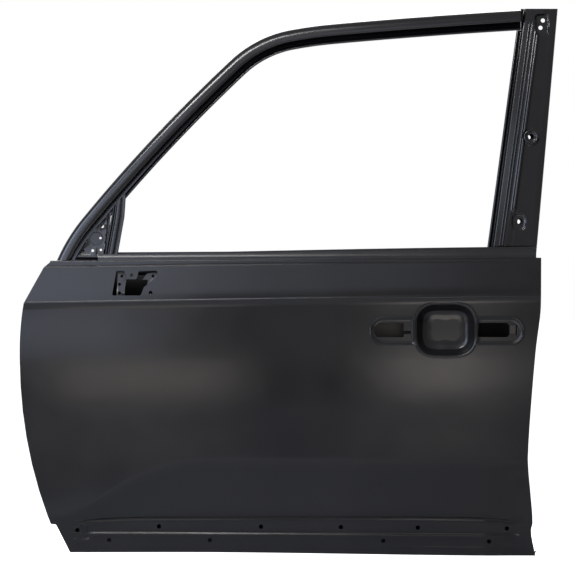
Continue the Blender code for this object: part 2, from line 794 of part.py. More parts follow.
def inner_x(i, z):
    """Root of the flange, foot and top of the flat wall, then the cabin face; the same from the rear."""
    wall = INNER_T + max(HINGE_FACE_X, front_edge(z) + HEM_LAND + 0.003)
    back_wall = latch_face_x - INNER_T
    near = {2: wall, 3: wall, 4: wall + FACE_RADIUS}
    far = {2: back_wall, 3: back_wall, 4: back_wall - FACE_RADIUS}
    return near.get(i, far.get(ends - i, place_x(skin_columns[i], z)))


def inner_point(i, j):
    """Point of the inner panel's outboard face at a whole or half step of the grid."""
    if i != int(i) or j != int(j):
        low = inner_point(math.floor(i), math.floor(j))
        return mix(low, inner_point(math.ceil(i), math.ceil(j)), i - math.floor(i) + j - math.floor(j))
    i, j = int(i), int(j)
    side = min(i, ends - i)
    c = skin_columns[i]
    on_skin = skin_point(c, j) if j < top else mix(skin_point(c, top - 1), skin_point(c, top), 0.4)
    if side < 2 or j < 2:
        # Along the front and rear the flange keeps clear of the fold, more so where the fold runs aslant.
        clear = flange_drop + (FLANGE_NOTCH if j in (5, 6) else 0)
        inward = clear * ((i == 0) - (i == ends))
        return on_skin + Vector((inward, flange_drop, flange_drop * (j == 0)))
    z = on_skin.z
    if j == top:
        z = belt_z(c) + INNER_TOP_RISE if c > 0.18 and side > 3 else wall_top_z
    x = inner_x(i, z)
    depth = (depth_steps[side] if side < 4 else 1) * (depth_steps[j] if j < 4 else 1)
    return Vector((x, mix(skin_y(x, z) + flange_drop, inner_face_y(z), depth), z))


access_first = skin_columns.index(ACCESS_FRONT_X) + 1
access_left = skin_columns[access_first] + ACCESS_MARGIN
access_right = skin_columns[access_first + 4] - ACCESS_MARGIN
access_x = (access_left + access_right) / 2
access_half = (access_right - access_left) / 2
tray = Sheet(list(range(ends + 1)), list(range(top + 1)), inner_point)


def face_ring(x, z, half_width, half_height, power, rise):
    """One loop round an opening of the cabin face."""

    def ring(turn):
        r = radius_of(turn, half_width, half_height, power)
        pz = z + r * math.sin(turn)
        return Vector((x + r * math.cos(turn), inner_face_y(pz) - rise, pz))

    return ring


# (outset from the opening, how far the sheet is drawn outboard) of each opening's seal land
land_steps = ((0.0120, 0.0), (0.0085, 0.0040), (0.0, 0.0040))
tray.patch(
    access_first, access_first + 4, 10, 17, 1,
    [face_ring(access_x, ACCESS_Z, access_half + o, ACCESS_HEIGHT / 2 + o, 5, r) for o, r in land_steps],
    closed=False,
)
tray.patch(
    4, 7, 6, 12, 1,
    [face_ring(SPEAKER_X, SPEAKER_Z, SPEAKER_RADIUS + o, SPEAKER_RADIUS + o, 2, -r) for o, r in land_steps],
    closed=False,
)
tray.fill()
inner_panel = thicken(add_object("inner_panel", tray.points, tray.faces, inner_coat), INNER_T)
# (share of the length, z, radius) of the round holes of the cabin face
face_holes = (
    (0.315, 0.165, 0.011),
    (0.392, 0.120, 0.016),
    (0.584, 0.120, 0.016),
    (0.730, 0.150, 0.022),
    (0.712, 0.300, 0.017),
    (0.803, 0.300, 0.026),
    (0.730, 0.420, 0.014),
    (0.876, 0.420, 0.020),
    (0.876, 0.240, 0.015),
    (0.803, 0.480, 0.011),
    (0.315, 0.420, 0.012),
    (0.137, 0.360, 0.015),
)
inner_cuts = []
for k, (share, z, r) in enumerate(face_holes):
    outline = circle(share * SKIN_LENGTH, z, r, 12 if r > 0.015 else 8)
    inner_cuts.append(prism(f"inner_hole_{k}", outline, 0.06, 0.13))
for k, share in enumerate((0.274, 0.566, 0.858)):
    outline = box_outline(share * SKIN_LENGTH, 0.062, 0.024, 0.010, 0.004)
    inner_cuts.append(prism(f"drain_{k}", outline, 0.003, 0.050, "Z"))
latch_opening = box_outline(0.058, LATCH_Z, 0.030, 0.044, 0.006)
latch_cutter = prism("latch_opening", latch_opening, latch_face_x - 0.03, latch_face_x + 0.03, "X")
check_opening = box_outline(HINGE_Y, CHECK_Z, 0.022, 0.030, 0.005)
check_cutter = prism("check_opening", check_opening, HINGE_FACE_X - 0.02, HINGE_FACE_X + 0.03, "X")
hinge_cuts = {}
for name, centre in (("upper", UPPER_HINGE_Z), ("lower", LOWER_HINGE_Z)):
    bolts = [circle(HINGE_Y, centre + s * HINGE_BOLT_SPACING / 2, HINGE_BOLT_RADIUS, 8) for s in (-1, 1)]
    hinge_cuts[name] = [
        prism(f"{name}_hinge_bolt_{k}", bolt, HINGE_FACE_X - 0.02, HINGE_FACE_X + 0.03, "X")
        for k, bolt in enumerate(bolts)
    ]
for cutter in inner_cuts + [latch_cutter, check_cutter] + hinge_cuts["upper"] + hinge_cuts["lower"]:
    combine(inner_panel, cutter)




def rear_outer_x(z):
    return SKIN_LENGTH - REAR_SASH_SETBACK + REAR_OUTER_LEAN * (z - FRAME_BELT_Z)


def rear_window_x(z):
    foot = SKIN_LENGTH - REAR_SASH_SETBACK - REAR_SASH_FOOT_WIDTH
    return foot + REAR_WINDOW_LEAN * (z - FRAME_BELT_Z)


# Front sash: roll-formed pillar and header in one length. Section: inward distance from the outer edge, depth.
def sash_stations():
    """Stations along the outer edge, as x, z and heading: the header ends on the rear post."""
    x, z, heading = SASH_FOOT_X, SASH_FOOT_Z, math.radians(SASH_FOOT_ANGLE)
    found = [(x, z, heading)]
    arcs = (
        (SASH_FOOT_LENGTH, SASH_FOOT_TURN, 2),
        (PILLAR_LENGTH, PILLAR_TURN, 4),
        (CORNER_LENGTH, CORNER_TURN, 6),
        (SHOULDER_LENGTH, SHOULDER_TURN, 2),
        (None, HEADER_TURN, 3),
    )
    for length, turn, steps in arcs:
        if length is None:
            length = (rear_window_x(z) + HEADER_END_INSET - x) / math.cos(heading + math.radians(turn) / 2)
        for _ in range(steps):
            heading += math.radians(turn) / steps / 2
            x += length / steps * math.cos(heading)
            z += length / steps * math.sin(heading)
            heading += math.radians(turn) / steps / 2
            found.append((x, z, heading))
    return found


def frame_slope(z):
    return FRAME_LEAN + 2 * FRAME_CURVE * (z - FRAME_BELT_Z)


sash_line = sash_stations()
stations = []
for k, (x, z, heading) in enumerate(sash_line):
    inward = Vector((math.sin(heading), 0, -math.cos(heading)))
    if k == 0:
        inward = Vector((1 / math.sin(heading), 0, 0))
    if k == len(sash_line) - 1:
        inward = Vector((0, 0, -1 / math.cos(heading)))
    inward.y = inward.z * frame_slope(z)
    stations.append((Vector((x, frame_y(z), z)), inward, Vector((0, 1, 0))))
w = SASH_WIDTH
sash_section = [
    (w - 0.0006, 0.0215), (w - 0.0012, 0.0185), (w - 0.0030, 0.0172), (w - 0.0052, 0.0190), (w - 0.0064, 0.0236),
    (0.0140, 0.0236), (0.0132, 0.0060), (0.0235, 0.0052), (0.0252, 0.0034), (0.0236, 0.0014),
    (0.0180, 0.0002), (0.0110, 0.0000), (0.0060, 0.0014), (0.0022, 0.0044), (0.0006, 0.0090),
    (0.0006, 0.0250), (0.0030, 0.0285), (0.0115, 0.0285), (0.0145, 0.0258), (w - 0.0095, 0.0258),
]
front_sash = swept("front_sash", sash_section, SASH_T, stations, frame_coat)
header_end_x, header_end_z, header_end_heading = sash_line[-1]
header_low_z = header_end_z - SASH_WIDTH / math.cos(header_end_heading)
rear_top_z = header_end_z + REAR_SASH_RISE

# Rear sash: stamped outer panel of the rear post with glass channel, flats, ridge and three embossed recesses.


# (distance from the window edge, depth), then (distance from the outer edge, depth)
post_window_side = (
    (0.0, 0.0170), (0.0015, 0.0145), (0.0040, 0.0145), (0.0055, 0.0170), (0.0062, 0.0240), (0.0115, 0.0240),
    (0.0122, 0.0070), (0.0137, 0.0055), (0.0255, 0.0055), (0.0275, 0.0030), (0.0305, 0.0030), (0.0325, 0.0055),
    (0.0400, 0.0055), (0.0430, 0.0000), (0.0470, 0.0000), (0.0500, 0.0060),
)
post_outer_side = ((0.0150, 0.0075), (0.0030, 0.0085), (0.0006, 0.0110), (0.0, 0.0240))
post_count = len(post_window_side) + len(post_outer_side)
latch_z = mix(FRAME_BELT_Z, rear_top_z, BOSS_HEIGHT_SHARE)
foot_z = FRAME_BELT_Z + FOOT_RECESS_RISE
crown_z = rear_top_z - TOP_RECESS_DROP
latch_boss = Vector((rear_outer_x(latch_z) - BOSS_INSET, latch_z))
foot_recess = Vector((rear_outer_x(foot_z) - FOOT_RECESS_INSET, foot_z))
top_recess = Vector((rear_outer_x(crown_z) - TOP_RECESS_INSET, crown_z))
post_rows = [REAR_SASH_BOTTOM_Z, FRAME_BELT_Z + 0.008, foot_z - 0.030, foot_z - 0.024, foot_z, foot_z + 0.024]
post_rows += [mix(foot_z, latch_z, 0.45), latch_z - 0.020, latch_z, latch_z + 0.020]
post_rows += [mix(latch_z, crown_z, 0.3), mix(latch_z, crown_z, 0.6)]
post_rows += [crown_z - 0.030, crown_z - 0.010, crown_z + 0.010, crown_z + 0.029, rear_top_z]


def post_point(i, z):
    low, high = math.floor(i), math.ceil(i)
    if low != high:
        return mix(post_point(low, z), post_point(high, z), i - low)
    if low < len(post_window_side):
        offset, depth = post_window_side[low]
        x = rear_window_x(z) + offset
    else:
        offset, depth = post_outer_side[low - len(post_window_side)]
        x = rear_outer_x(z) - offset
    return Vector((x, frame_y(z) + depth, z))


def post_ring(centre, half_width, half_height, power, depth):
    def ring(turn):
        r = radius_of(turn, half_width, half_height, power)
        z = centre.y + r * math.sin(turn)
        return Vector((centre.x + r * math.cos(turn), frame_y(z) + depth, z))

    return ring


post = Sheet(list(range(post_count)), post_rows, post_point)
post.patch(11, 16, 7, 9, 1, [
    post_ring(latch_boss, LATCH_BOSS_RADIUS - inset, LATCH_BOSS_RADIUS - inset, 2, depth)
    for inset, depth in ((0.0, 0.0040), (0.0025, 0.0010), (0.0060, 0.0010), (0.0090, 0.0040))
])
post.patch(8, 16, 3, 5, 0, [
    post_ring(foot_recess, FOOT_RECESS_WIDTH / 2 - inset, FOOT_RECESS_HEIGHT / 2 - inset, 3, depth)
    for inset, depth in ((0.0, 0.0045), (0.0030, 0.0095), (0.0060, 0.0100))
])
post.patch(8, 17, 12, 15, 0, [
    post_ring(top_recess, TOP_RECESS_WIDTH / 2 - inset, TOP_RECESS_HEIGHT / 2 - inset, 4, depth)
    for inset, depth in ((0.0, 0.0060), (0.0020, 0.0100))
])
post.fill()
rear_sash = thicken(add_object("rear_sash", post.points, post.faces, frame_coat), SASH_T)
cut_x, cut_z = header_end_x + GAP, header_low_z - GAP
corner = [(cut_x - 0.1, cut_z), (cut_x, cut_z), (cut_x, cut_z + 0.2), (cut_x - 0.1, cut_z + 0.2)]
post_cuts = [prism("header_cutter", corner, 0.0, 0.4)]
post_holes = (
    (latch_boss.x, latch_boss.y, 0.0060),
    (foot_recess.x + 0.0030, foot_recess.y + 0.0010, 0.0058),
    (top_recess.x + 0.0020, top_recess.y + 0.0085, 0.0044),
    (top_recess.x - 0.0032, top_recess.y - 0.0070, 0.0044),
)
for k, (x, z, r) in enumerate(post_holes):
    post_cuts.append(prism(f"post_hole_{k}", circle(x, z, r, 8), 0.0, 0.30))
for cutter in post_cuts:
    combine(rear_sash, cutter)

# Rear sash inner panel: closes the post towards the cabin, with one long bead. It rests on channel and flange.
back = 0.0240 + SASH_T + GAP
inner_post_section = ((0.0010, 0.0), (0.0130, 0.0), (0.0180, 0.0040), (0.0300, 0.0040), (0.0350, 0.0))
inner_post_rows = [REAR_SASH_BOTTOM_Z + 0.002] + post_rows[3:13] + [header_low_z - 0.004]


def inner_post_point(i, z):
    if i < len(inner_post_section):
        offset, depth = inner_post_section[i]
        return Vector((rear_window_x(z) + 0.0060 + offset, frame_y(z) + back + depth, z))
    return Vector((rear_outer_x(z) - 0.0010, frame_y(z) + back, z))


inner_post = Sheet(list(range(len(inner_post_section) + 1)), inner_post_rows, inner_post_point)
inner_post.fill()
thicken(add_object("rear_sash_inner", inner_post.points, inner_post.faces, inner_coat), SASH_T)


# Division bar: channel between the mirror corner plate and the sliding glass, running on down inside the door.
def bar_x(z):
    return mix(BAR_FOOT_X, BAR_TOP_X, (z - FRAME_BELT_Z) / (BAR_TOP_Z - FRAME_BELT_Z))


bw = BAR_WIDTH
bar_section = [
    (0.0006, 0.0100), (0.0008, 0.0018), (0.0022, 0.0004), (0.0038, 0.0014), (0.0048, 0.0080), (0.0090, 0.0080),
    (0.0098, 0.0032), (0.0110, 0.0024), (0.0170, 0.0024), (0.0184, 0.0040), (0.0184, 0.0095), (bw - 0.0012, 0.0095),
    (bw - 0.0006, 0.0070),
]
bar_stations = []
for z in (BAR_BOTTOM_Z, 0.37, 0.45, 0.53, 0.61, 0.66, 0.71, BAR_TOP_Z):
    slope = 1.12 if z == BAR_TOP_Z else 0.0
    axis = Vector((1, slope * frame_slope(z), slope))
    bar_stations.append((Vector((bar_x(z), frame_y(z) + BAR_BACKSET, z)), axis, Vector((0, 1, 0))))
swept("division_bar", bar_section, SASH_T, bar_stations, frame_coat)


# Mirror corner plate: triangular pressing with a raised ridge inside its edge and a round pocket for the mirror.
def sail_outline():
    """Three corners, with the front side bowed along the pillar."""
    side = SAIL_TOP - SAIL_FRONT
    out = Vector((-side.y, side.x)).normalized()
    bowed = [SAIL_TOP - side * (k / 6) + out * SAIL_BOW * (1 - (k / 3 - 1) ** 2) for k in range(1, 6)]
    return [SAIL_FRONT, SAIL_REAR, SAIL_TOP] + bowed


def sail_point(p, rise):
    return Vector((p.x, frame_y(p.y) + SAIL_BACKSET - rise, p.y))


sail_edge = []
for a, b in zip(sail_outline(), sail_outline()[1:] + sail_outline()[:1]):
    steps = max(1, round((b - a).length / 0.015))
    sail_edge += [a + (b - a) * (k / steps) for k in range(steps)]
sail_turns = [math.atan2(p.y - SAIL_HOLE.y, p.x - SAIL_HOLE.x) for p in sail_edge]
sail_rim = [SAIL_HOLE + SAIL_HOLE_RADIUS * Vector((math.cos(a), math.sin(a))) for a in sail_turns]
# (share of the way from the edge to the hole's rim, height drawn outwards)
sail_loops = ((0.0, 0.0), (0.10, 0.0), (0.22, 0.0028), (0.34, 0.0028), (0.50, 0.0004))
sail_loops += ((0.92, 0.0004), (1.0, -0.0030))
sail_points = []
for share, rise in sail_loops:
    for a, b in zip(sail_edge, sail_rim):
        room = min(1.0, ((a - b).length / SAIL_RIDGE_ROOM) ** 2)
        sail_points.append(sail_point(mix(a, b, share), rise * room))
for radius in (0.97 * SAIL_HOLE_RADIUS, 0.60 * SAIL_HOLE_RADIUS):
    for a in sail_turns:
        p = SAIL_HOLE + radius * Vector((math.cos(a), math.sin(a)))
        sail_points.append(sail_point(p, -SAIL_POCKET_DEPTH))
around = len(sail_edge)
sail_faces = [list(range(len(sail_points) - around, len(sail_points)))]
for r in range(len(sail_loops) + 1):
    for k in range(around):
        n = (k + 1) % around
        sail_faces.append([r * around + k, r * around + n, (r + 1) * around + n, (r + 1) * around + k])
sail = thicken(add_object("mirror_corner_plate", sail_points, sail_faces, frame_coat), SKIN_T)
sail_holes = (
    (SAIL_HOLE.x + 0.0086, SAIL_HOLE.y + 0.0010, 0.0024),
    (0.1730, 0.6935, 0.0032),
    (0.1335, 0.6420, 0.0026),
    (0.1530, 0.6425, 0.0028),
    (0.1700, 0.6440, 0.0026),
)
for k, (x, z, r) in enumerate(sail_holes):
    combine(sail, prism(f"sail_hole_{k}", circle(x, z, r, 8), 0.0, 0.2))

# Outer belt reinforcement: lies behind the skin's belt edge and stands up above it as the seal's flange.
belt_section = (
    (SKIN_T + GAP + 0.0002 - 0.0021, -0.0090),
    (SKIN_T + GAP + 0.0002 - 0.0005, -0.0020),
    (SKIN_T + GAP + 0.0022, -0.0008),
    (BELT_FLANGE + GAP + 0.0004, 0.0002),
    (BELT_FLANGE + GAP + 0.0006, 0.0070),
    (BELT_FLANGE + GAP + 0.0010, 0.0100),
    (BELT_FLANGE + GAP + 0.0034, 0.0120),
    (BELT_FLANGE + GAP + 0.0036, 0.0),
)
belt_columns = [BELT_START_X] + [c for c in skin_columns if BELT_START_X + 0.01 < c < SKIN_LENGTH - 0.02]
belt_columns.append(SKIN_LENGTH - 0.0110)


def belt_point(x, j):
    depth, rise = belt_section[j]
    if j == len(belt_section) - 1:
        rise = mix(0.0135, 0.0265, ease(-0.2, 1.1, x))
    base = belt_z(x)
    tail = BELT_TAIL * ease(0.0, 0.007, rise) if x == belt_columns[-1] else 0.0
    return Vector((x + tail, skin_y(x, base) + depth, base + rise))


belt = Sheet(belt_columns, list(range(len(belt_section))), belt_point)
belt.fill()
thicken(add_object("outer_belt_reinforcement", belt.points, belt.faces, plate_coat), REINFORCEMENT_T)

# Inner belt reinforcement: hat section on the outboard face of the inner panel, between the two glass channels.
hat_top = BELT_FRONT_Z + INNER_TOP_RISE - 0.0030
hat_section = ((0, -0.044), (0, -0.034), (0.009, -0.030), (0.009, -0.014), (0, -0.010), (0, 0))


def hat_point(x, j):
    rise, drop = hat_section[j]
    z = hat_top + drop
    return Vector((x, inner_face_y(z) - GAP - REINFORCEMENT_T - 0.0001 - rise, z))


hat_start, hat_end = BAR_FOOT_X + BAR_WIDTH + 0.011, rear_window_x(hat_top) - 0.017
hat = Sheet(spaced(hat_start, hat_end, 4) + [hat_end], list(range(len(hat_section))), hat_point)
hat.fill()
inner_belt = thicken(add_object("inner_belt_reinforcement", hat.points, hat.faces, plate_coat), REINFORCEMENT_T)
for k in range(5):
    x = mix(hat_start, hat_end, 0.1 + 0.19 * k)
    combine(inner_belt, prism(f"hat_hole_{k}", circle(x, hat_top - 0.022, 0.0050, 8), 0.05, 0.072))

# Mirror reinforcement: plate behind the cut-out, its flanges on the back of the skin above and below.
mirror_back = SKIN_T + GAP + 0.0002
mirror_lines = ((-0.0010, 0.0), (0.0050, 0.0), (0.0110, 0.0065), (0.0530, 0.0065), (0.0575, 0.0), (0.0620, 0.0))
mirror_base = MIRROR_BOTTOM_Z - 0.0060


def mirror_point(x, j):
    rise, depth = mirror_lines[j]
    z = mirror_base + rise
    return Vector((x, skin_y(x, z) + mirror_back + depth, z))


mirror_plate = Sheet([0.180, 0.205, 0.235, 0.265, 0.300], list(range(len(mirror_lines))), mirror_point)
mirror_plate.fill()
mirror_solid = thicken(
    add_object("mirror_reinforcement", mirror_plate.points, mirror_plate.faces, plate_coat), REINFORCEMENT_T
)
mx, mz = MIRROR_X, MIRROR_BOTTOM_Z
window = [(mx + 0.028, mz + 0.004), (mx + 0.060, mz + 0.004), (mx + 0.072, mz + 0.018)]
window += [(mx + 0.075, mz + 0.032), (mx + 0.030, mz + 0.032), (mx + 0.028, mz + 0.015)]
mirror_cuts = [prism("mirror_window", rounded(window, 0.003, 2), -0.02, 0.08)]
for k, (x, z) in enumerate(((0.0208, 0.0408), (0.0158, 0.0236), (0.0154, 0.0058), (0.0860, 0.0408))):
    mirror_cuts.append(prism(f"mirror_hole_{k}", circle(mx + x, mz + z, 0.0034, 8), -0.02, 0.08))
for cutter in mirror_cuts:
    combine(mirror_solid, cutter)

# Handle reinforcement: plate behind the two pods, open round the bowl.
plate_back = POD_DEPTH + SKIN_T + GAP + 0.0002
plate_xs = [front_pod_end, mix(front_pod_end, bowl_left, 0.5), bowl_left - 0.004, handle_x]
plate_xs += [bowl_right + 0.004, mix(bowl_right, rear_pod_end, 0.5), rear_pod_end - 0.006]
plate_zs = [block_low - 0.012, pod_low + 0.004, HANDLE_Z, pod_high - 0.004, block_low + BOWL_HEIGHT + 0.010]


def plate_point(x, z):
    return Vector((x, skin_y(x, z) + plate_back, z))


handle_plate = Sheet(plate_xs, plate_zs, plate_point)
handle_plate.patch(
    2, 4, 0, 4, 3,
    [recess_ring(handle_x, HANDLE_Z, BOWL_WIDTH / 2 + 0.001, BOWL_HEIGHT / 2 + 0.001, plate_back, 3.2)],
    closed=False,
)
handle_plate.fill()
handle_solid = thicken(
    add_object("handle_reinforcement", handle_plate.points, handle_plate.faces, plate_coat), REINFORCEMENT_T
)
for cutter in leg_cuts:
    combine(handle_solid, cutter)

# Hinge, check link and latch reinforcements: flat plates with turned edges behind the inner panel's flat faces.
UP = Vector((0, 0, 1))
X_AXIS = Vector((1, 0, 0))
Y_AXIS = Vector((0, 1, 0))


def edge_plate(name, face_x, side, centre_z, height, thickness, depth, y_low, y_high):
    """Channel behind a flat face: side is 1 behind the front face and -1 behind the rear one."""
    x = face_x + side * (INNER_T + GAP + thickness / 2)
    section = [(side * depth, y_low), (side * 0.002, y_low), (0, y_low + 0.002), (0, y_high - 0.002)]
    section += [(side * 0.002, y_high), (side * depth, y_high)]
    ends_z = (centre_z - height / 2, centre_z + height / 2)
    return swept(name, section, thickness, [(Vector((x, 0, z)), X_AXIS, Y_AXIS) for z in ends_z], plate_coat)


plate_low, plate_high = HINGE_Y - 0.026, HINGE_Y + 0.026
tapping_x = HINGE_FACE_X + INNER_T + HINGE_T + 2 * GAP
for name, z in (("upper", UPPER_HINGE_Z), ("lower", LOWER_HINGE_Z)):
    plate = edge_plate(
        f"{name}_hinge_reinforcement", HINGE_FACE_X, 1, z, HINGE_PLATE_HEIGHT, HINGE_T, 0.018, plate_low, plate_high
    )
    outline = box_outline(HINGE_Y, z, 0.030, HINGE_BOLT_SPACING + 0.028, 0.005)
    nut = prism(f"{name}_hinge_tapping_plate", outline, tapping_x, tapping_x + 0.006, "X")
    for cutter in hinge_cuts[name]:
        combine(plate, cutter)
        combine(nut, cutter)
check_plate = edge_plate(
    "check_link_reinforcement", HINGE_FACE_X, 1, CHECK_Z, 0.060, REINFORCEMENT_T, 0.012, HINGE_Y - 0.022, HINGE_Y + 0.022
)
combine(check_plate, check_cutter)
latch_plate = edge_plate(
    "latch_reinforcement", latch_face_x, -1, LATCH_Z, 0.120, REINFORCEMENT_T, 0.014, 0.034, 0.084
)
combine(latch_plate, latch_cutter)

# Impact beams: tubes between the hinge face and the latch face, each end in a bracket.
beam_front_x = HINGE_FACE_X + INNER_T + GAP
beam_rear_x = latch_face_x - INNER_T - GAP


def beam_z(front_z, rear_z, x):
    return mix(front_z, rear_z, (x - beam_front_x) / (beam_rear_x - beam_front_x))


for name, front_z, rear_z in (
    ("upper", UPPER_BEAM_FRONT_Z, UPPER_BEAM_REAR_Z),
    ("lower", LOWER_BEAM_FRONT_Z, LOWER_BEAM_REAR_Z),
):
    along = Vector((beam_rear_x - beam_front_x, 0, rear_z - front_z)).normalized()
    upward = Vector((-along.z, 0, along.x))
    tube_ends = [beam_front_x + BEAM_BRACKET_T + GAP, beam_rear_x - BEAM_BRACKET_T - GAP]
    count = 20
    points, faces = [], []
    for x in tube_ends:
        centre = Vector((x, BEAM_Y, beam_z(front_z, rear_z, x)))
        for radius in (BEAM_RADIUS, BEAM_RADIUS - BEAM_WALL):
            for k in range(count):
                a = 2 * math.pi * k / count
                p = centre + Y_AXIS * (radius * math.cos(a)) + upward * (radius * math.sin(a))
                points.append(p + X_AXIS * (-(p - centre).x))
    for k in range(count):
        n = (k + 1) % count
        for a, b in ((0, 1), (1, 3), (3, 2), (2, 0)):
            faces.append([a * count + k, a * count + n, b * count + n, b * count + k])
    tube = add_object(f"{name}_impact_beam", points, faces, beam_coat, smooth=True)
    work = bmesh.new()
    work.from_mesh(tube.data)
    bmesh.ops.recalc_face_normals(work, faces=work.faces)
    work.to_mesh(tube.data)
    work.free()
    for end, x0, side in (("front", beam_front_x, 1), ("rear", beam_rear_x, -1)):
        z0 = beam_z(front_z, rear_z, x0)
        outline = box_outline(BEAM_Y + 0.027, z0, 0.070, 0.046, 0.008)
        low_x, high_x = sorted((x0, x0 + side * BEAM_BRACKET_T))
        bracket = prism(f"{name}_beam_{end}_bracket", outline, low_x, high_x, "X")
        arc = BEAM_RADIUS + GAP + BEAM_BRACKET_T / 2
        saddle_turns = [math.radians(20 * k) for k in range(-5, 6)]
        saddle_section = [(arc * math.cos(a), arc * math.sin(a)) for a in saddle_turns]
        saddle_stations = []
        for reach in (BEAM_BRACKET_T * 0.4, 0.040):
            x = x0 + side * reach
            saddle_stations.append((Vector((x, BEAM_Y, beam_z(front_z, rear_z, x))), Y_AXIS, UP))
        saddle = swept(f"{name}_{end}_saddle", saddle_section, BEAM_BRACKET_T, saddle_stations, plate_coat)
        combine(bracket, saddle, "UNION")

# Rear glass guide: channel that carries the sliding glass on below the rear sash.
guide_section = [(0.0120, 0.0060), (0.0, 0.0060), (0.0, 0.0220), (0.0120, 0.0220)]
guide_stations = []
for z in (GUIDE_BOTTOM_Z, 0.48, 0.55, GUIDE_TOP_Z):
    x = rear_window_x(z) + GUIDE_OFFSET
    guide_stations.append((Vector((x, frame_y(z), z)), Vector((-1, 0, 0)), Y_AXIS))
swept("rear_glass_guide", guide_section, SASH_T, guide_stations, frame_coat)


def foot_bracket(name, x_channel, y_channel, x_foot, low_z, high_z):
    """Z-shaped bracket from the back of a glass channel to the cabin face of the inner panel."""
    half = REINFORCEMENT_T / 2
    face = inner_face_y(high_z) - GAP - half
    section = [(x_channel - 0.008, y_channel + half), (x_channel + 0.006, y_channel + half)]
    section += [(x_foot, face), (x_foot + 0.022, face)]
    ends_z = (low_z, high_z)
    ends = [(Vector((0, 0, z)), X_AXIS, Y_AXIS) for z in ends_z]
    return swept(name, section, REINFORCEMENT_T, ends, plate_coat)


guide_low = GUIDE_BOTTOM_Z + 0.006
guide_back = max(frame_y(guide_low), frame_y(guide_low + 0.03)) + 0.0220 + SASH_T / 2 + GAP
foot_bracket(
    "rear_guide_bracket", rear_window_x(guide_low) - 0.002, guide_back, rear_window_x(guide_low) + 0.012,
    guide_low, guide_low + 0.030,
)
bar_low = BAR_BOTTOM_Z + 0.004
bar_back = max(frame_y(bar_low), frame_y(bar_low + 0.034)) + BAR_BACKSET + 0.0095 + SASH_T / 2 + GAP
bar_right = bar_x(bar_low) + BAR_WIDTH
foot_bracket("division_bar_bracket", bar_right - 0.006, bar_back, bar_right + 0.014, bar_low, bar_low + 0.034)


def sash_bracket(name, x_low, x_high, sash_depth, low_z, top_z, sash_z):
    """Strap that rises from the inner panel and leans along the back of a sash."""
    half = REINFORCEMENT_T / 2
    line = [(inner_face_y(z) - GAP - half - 0.0002, z) for z in (low_z, mix(low_z, top_z, 0.5), top_z)]
    line += [(frame_y(z) + sash_depth + 2 * GAP + half, z) for z in (sash_z, sash_z + 0.036)]
    stations = [(Vector((x, 0, 0)), Y_AXIS, UP) for x in (x_low, x_high)]
    return swept(name, line, REINFORCEMENT_T, stations, plate_coat)


strap_low, strap_high = wall_top_z - 0.037, wall_top_z - 0.002
strap_x = HINGE_FACE_X + 0.016
sash_bracket("front_sash_bracket", strap_x, strap_x + 0.034, 0.0285 + SASH_T / 2, strap_low, strap_high, 0.632)
strap_x = latch_face_x - 0.0192
sash_bracket("rear_sash_bracket", strap_x, strap_x + 0.009, back + SASH_T, strap_low, strap_high, 0.622)

# Anti-flutter pads: sealant blocks between the beams and the skin.
for name, front_z, rear_z, shares in (
    ("upper", UPPER_BEAM_FRONT_Z, UPPER_BEAM_REAR_Z, (0.274, 0.474, 0.657)),
    ("lower", LOWER_BEAM_FRONT_Z, LOWER_BEAM_REAR_Z, (0.347, 0.693)),
):
    for k, share in enumerate(shares):
        x = share * SKIN_LENGTH
        z = beam_z(front_z, rear_z, x)
        spots = [(x + dx * PAD_WIDTH / 2, z + dz * PAD_HEIGHT / 2) for dx in (-1, 1) for dz in (-1, 1)]
        front = max(skin_y(px, pz) for px, pz in spots + [(x, z)]) + SKIN_T + PAD_CLEARANCE
        pad = prism(
            f"{name}_anti_flutter_pad_{k + 1}", box_outline(x, z, PAD_WIDTH, PAD_HEIGHT, 0.006),
            front, BEAM_Y - BEAM_RADIUS - GAP,
        )
        pad.data.materials.clear()
        pad.data.materials.append(pad_black)
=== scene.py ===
"""Looks of the bare door shell: finely pressed sheet metal in semi-gloss black electrocoat on a pale floor."""

import math

import bmesh
import bpy
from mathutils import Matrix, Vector


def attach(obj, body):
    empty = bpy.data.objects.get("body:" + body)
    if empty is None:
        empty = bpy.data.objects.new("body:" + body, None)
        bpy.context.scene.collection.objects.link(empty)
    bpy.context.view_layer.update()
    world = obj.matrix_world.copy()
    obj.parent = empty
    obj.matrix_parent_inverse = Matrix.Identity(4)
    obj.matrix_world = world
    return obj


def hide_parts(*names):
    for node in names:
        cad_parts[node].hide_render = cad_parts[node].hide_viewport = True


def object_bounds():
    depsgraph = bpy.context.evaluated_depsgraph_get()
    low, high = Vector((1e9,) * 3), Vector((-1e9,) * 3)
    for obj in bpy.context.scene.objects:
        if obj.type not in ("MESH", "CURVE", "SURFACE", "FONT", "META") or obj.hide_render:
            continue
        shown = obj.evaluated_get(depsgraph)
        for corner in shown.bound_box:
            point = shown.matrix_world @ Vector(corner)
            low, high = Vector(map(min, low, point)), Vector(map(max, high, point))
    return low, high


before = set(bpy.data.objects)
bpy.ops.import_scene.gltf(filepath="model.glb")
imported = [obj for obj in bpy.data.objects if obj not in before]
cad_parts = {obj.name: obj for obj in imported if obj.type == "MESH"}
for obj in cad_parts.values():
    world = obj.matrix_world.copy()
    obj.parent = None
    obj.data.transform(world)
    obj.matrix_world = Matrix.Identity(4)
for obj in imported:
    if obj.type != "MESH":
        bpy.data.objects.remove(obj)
frame_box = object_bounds()
bpy.ops.object.select_all(action="DESELECT")

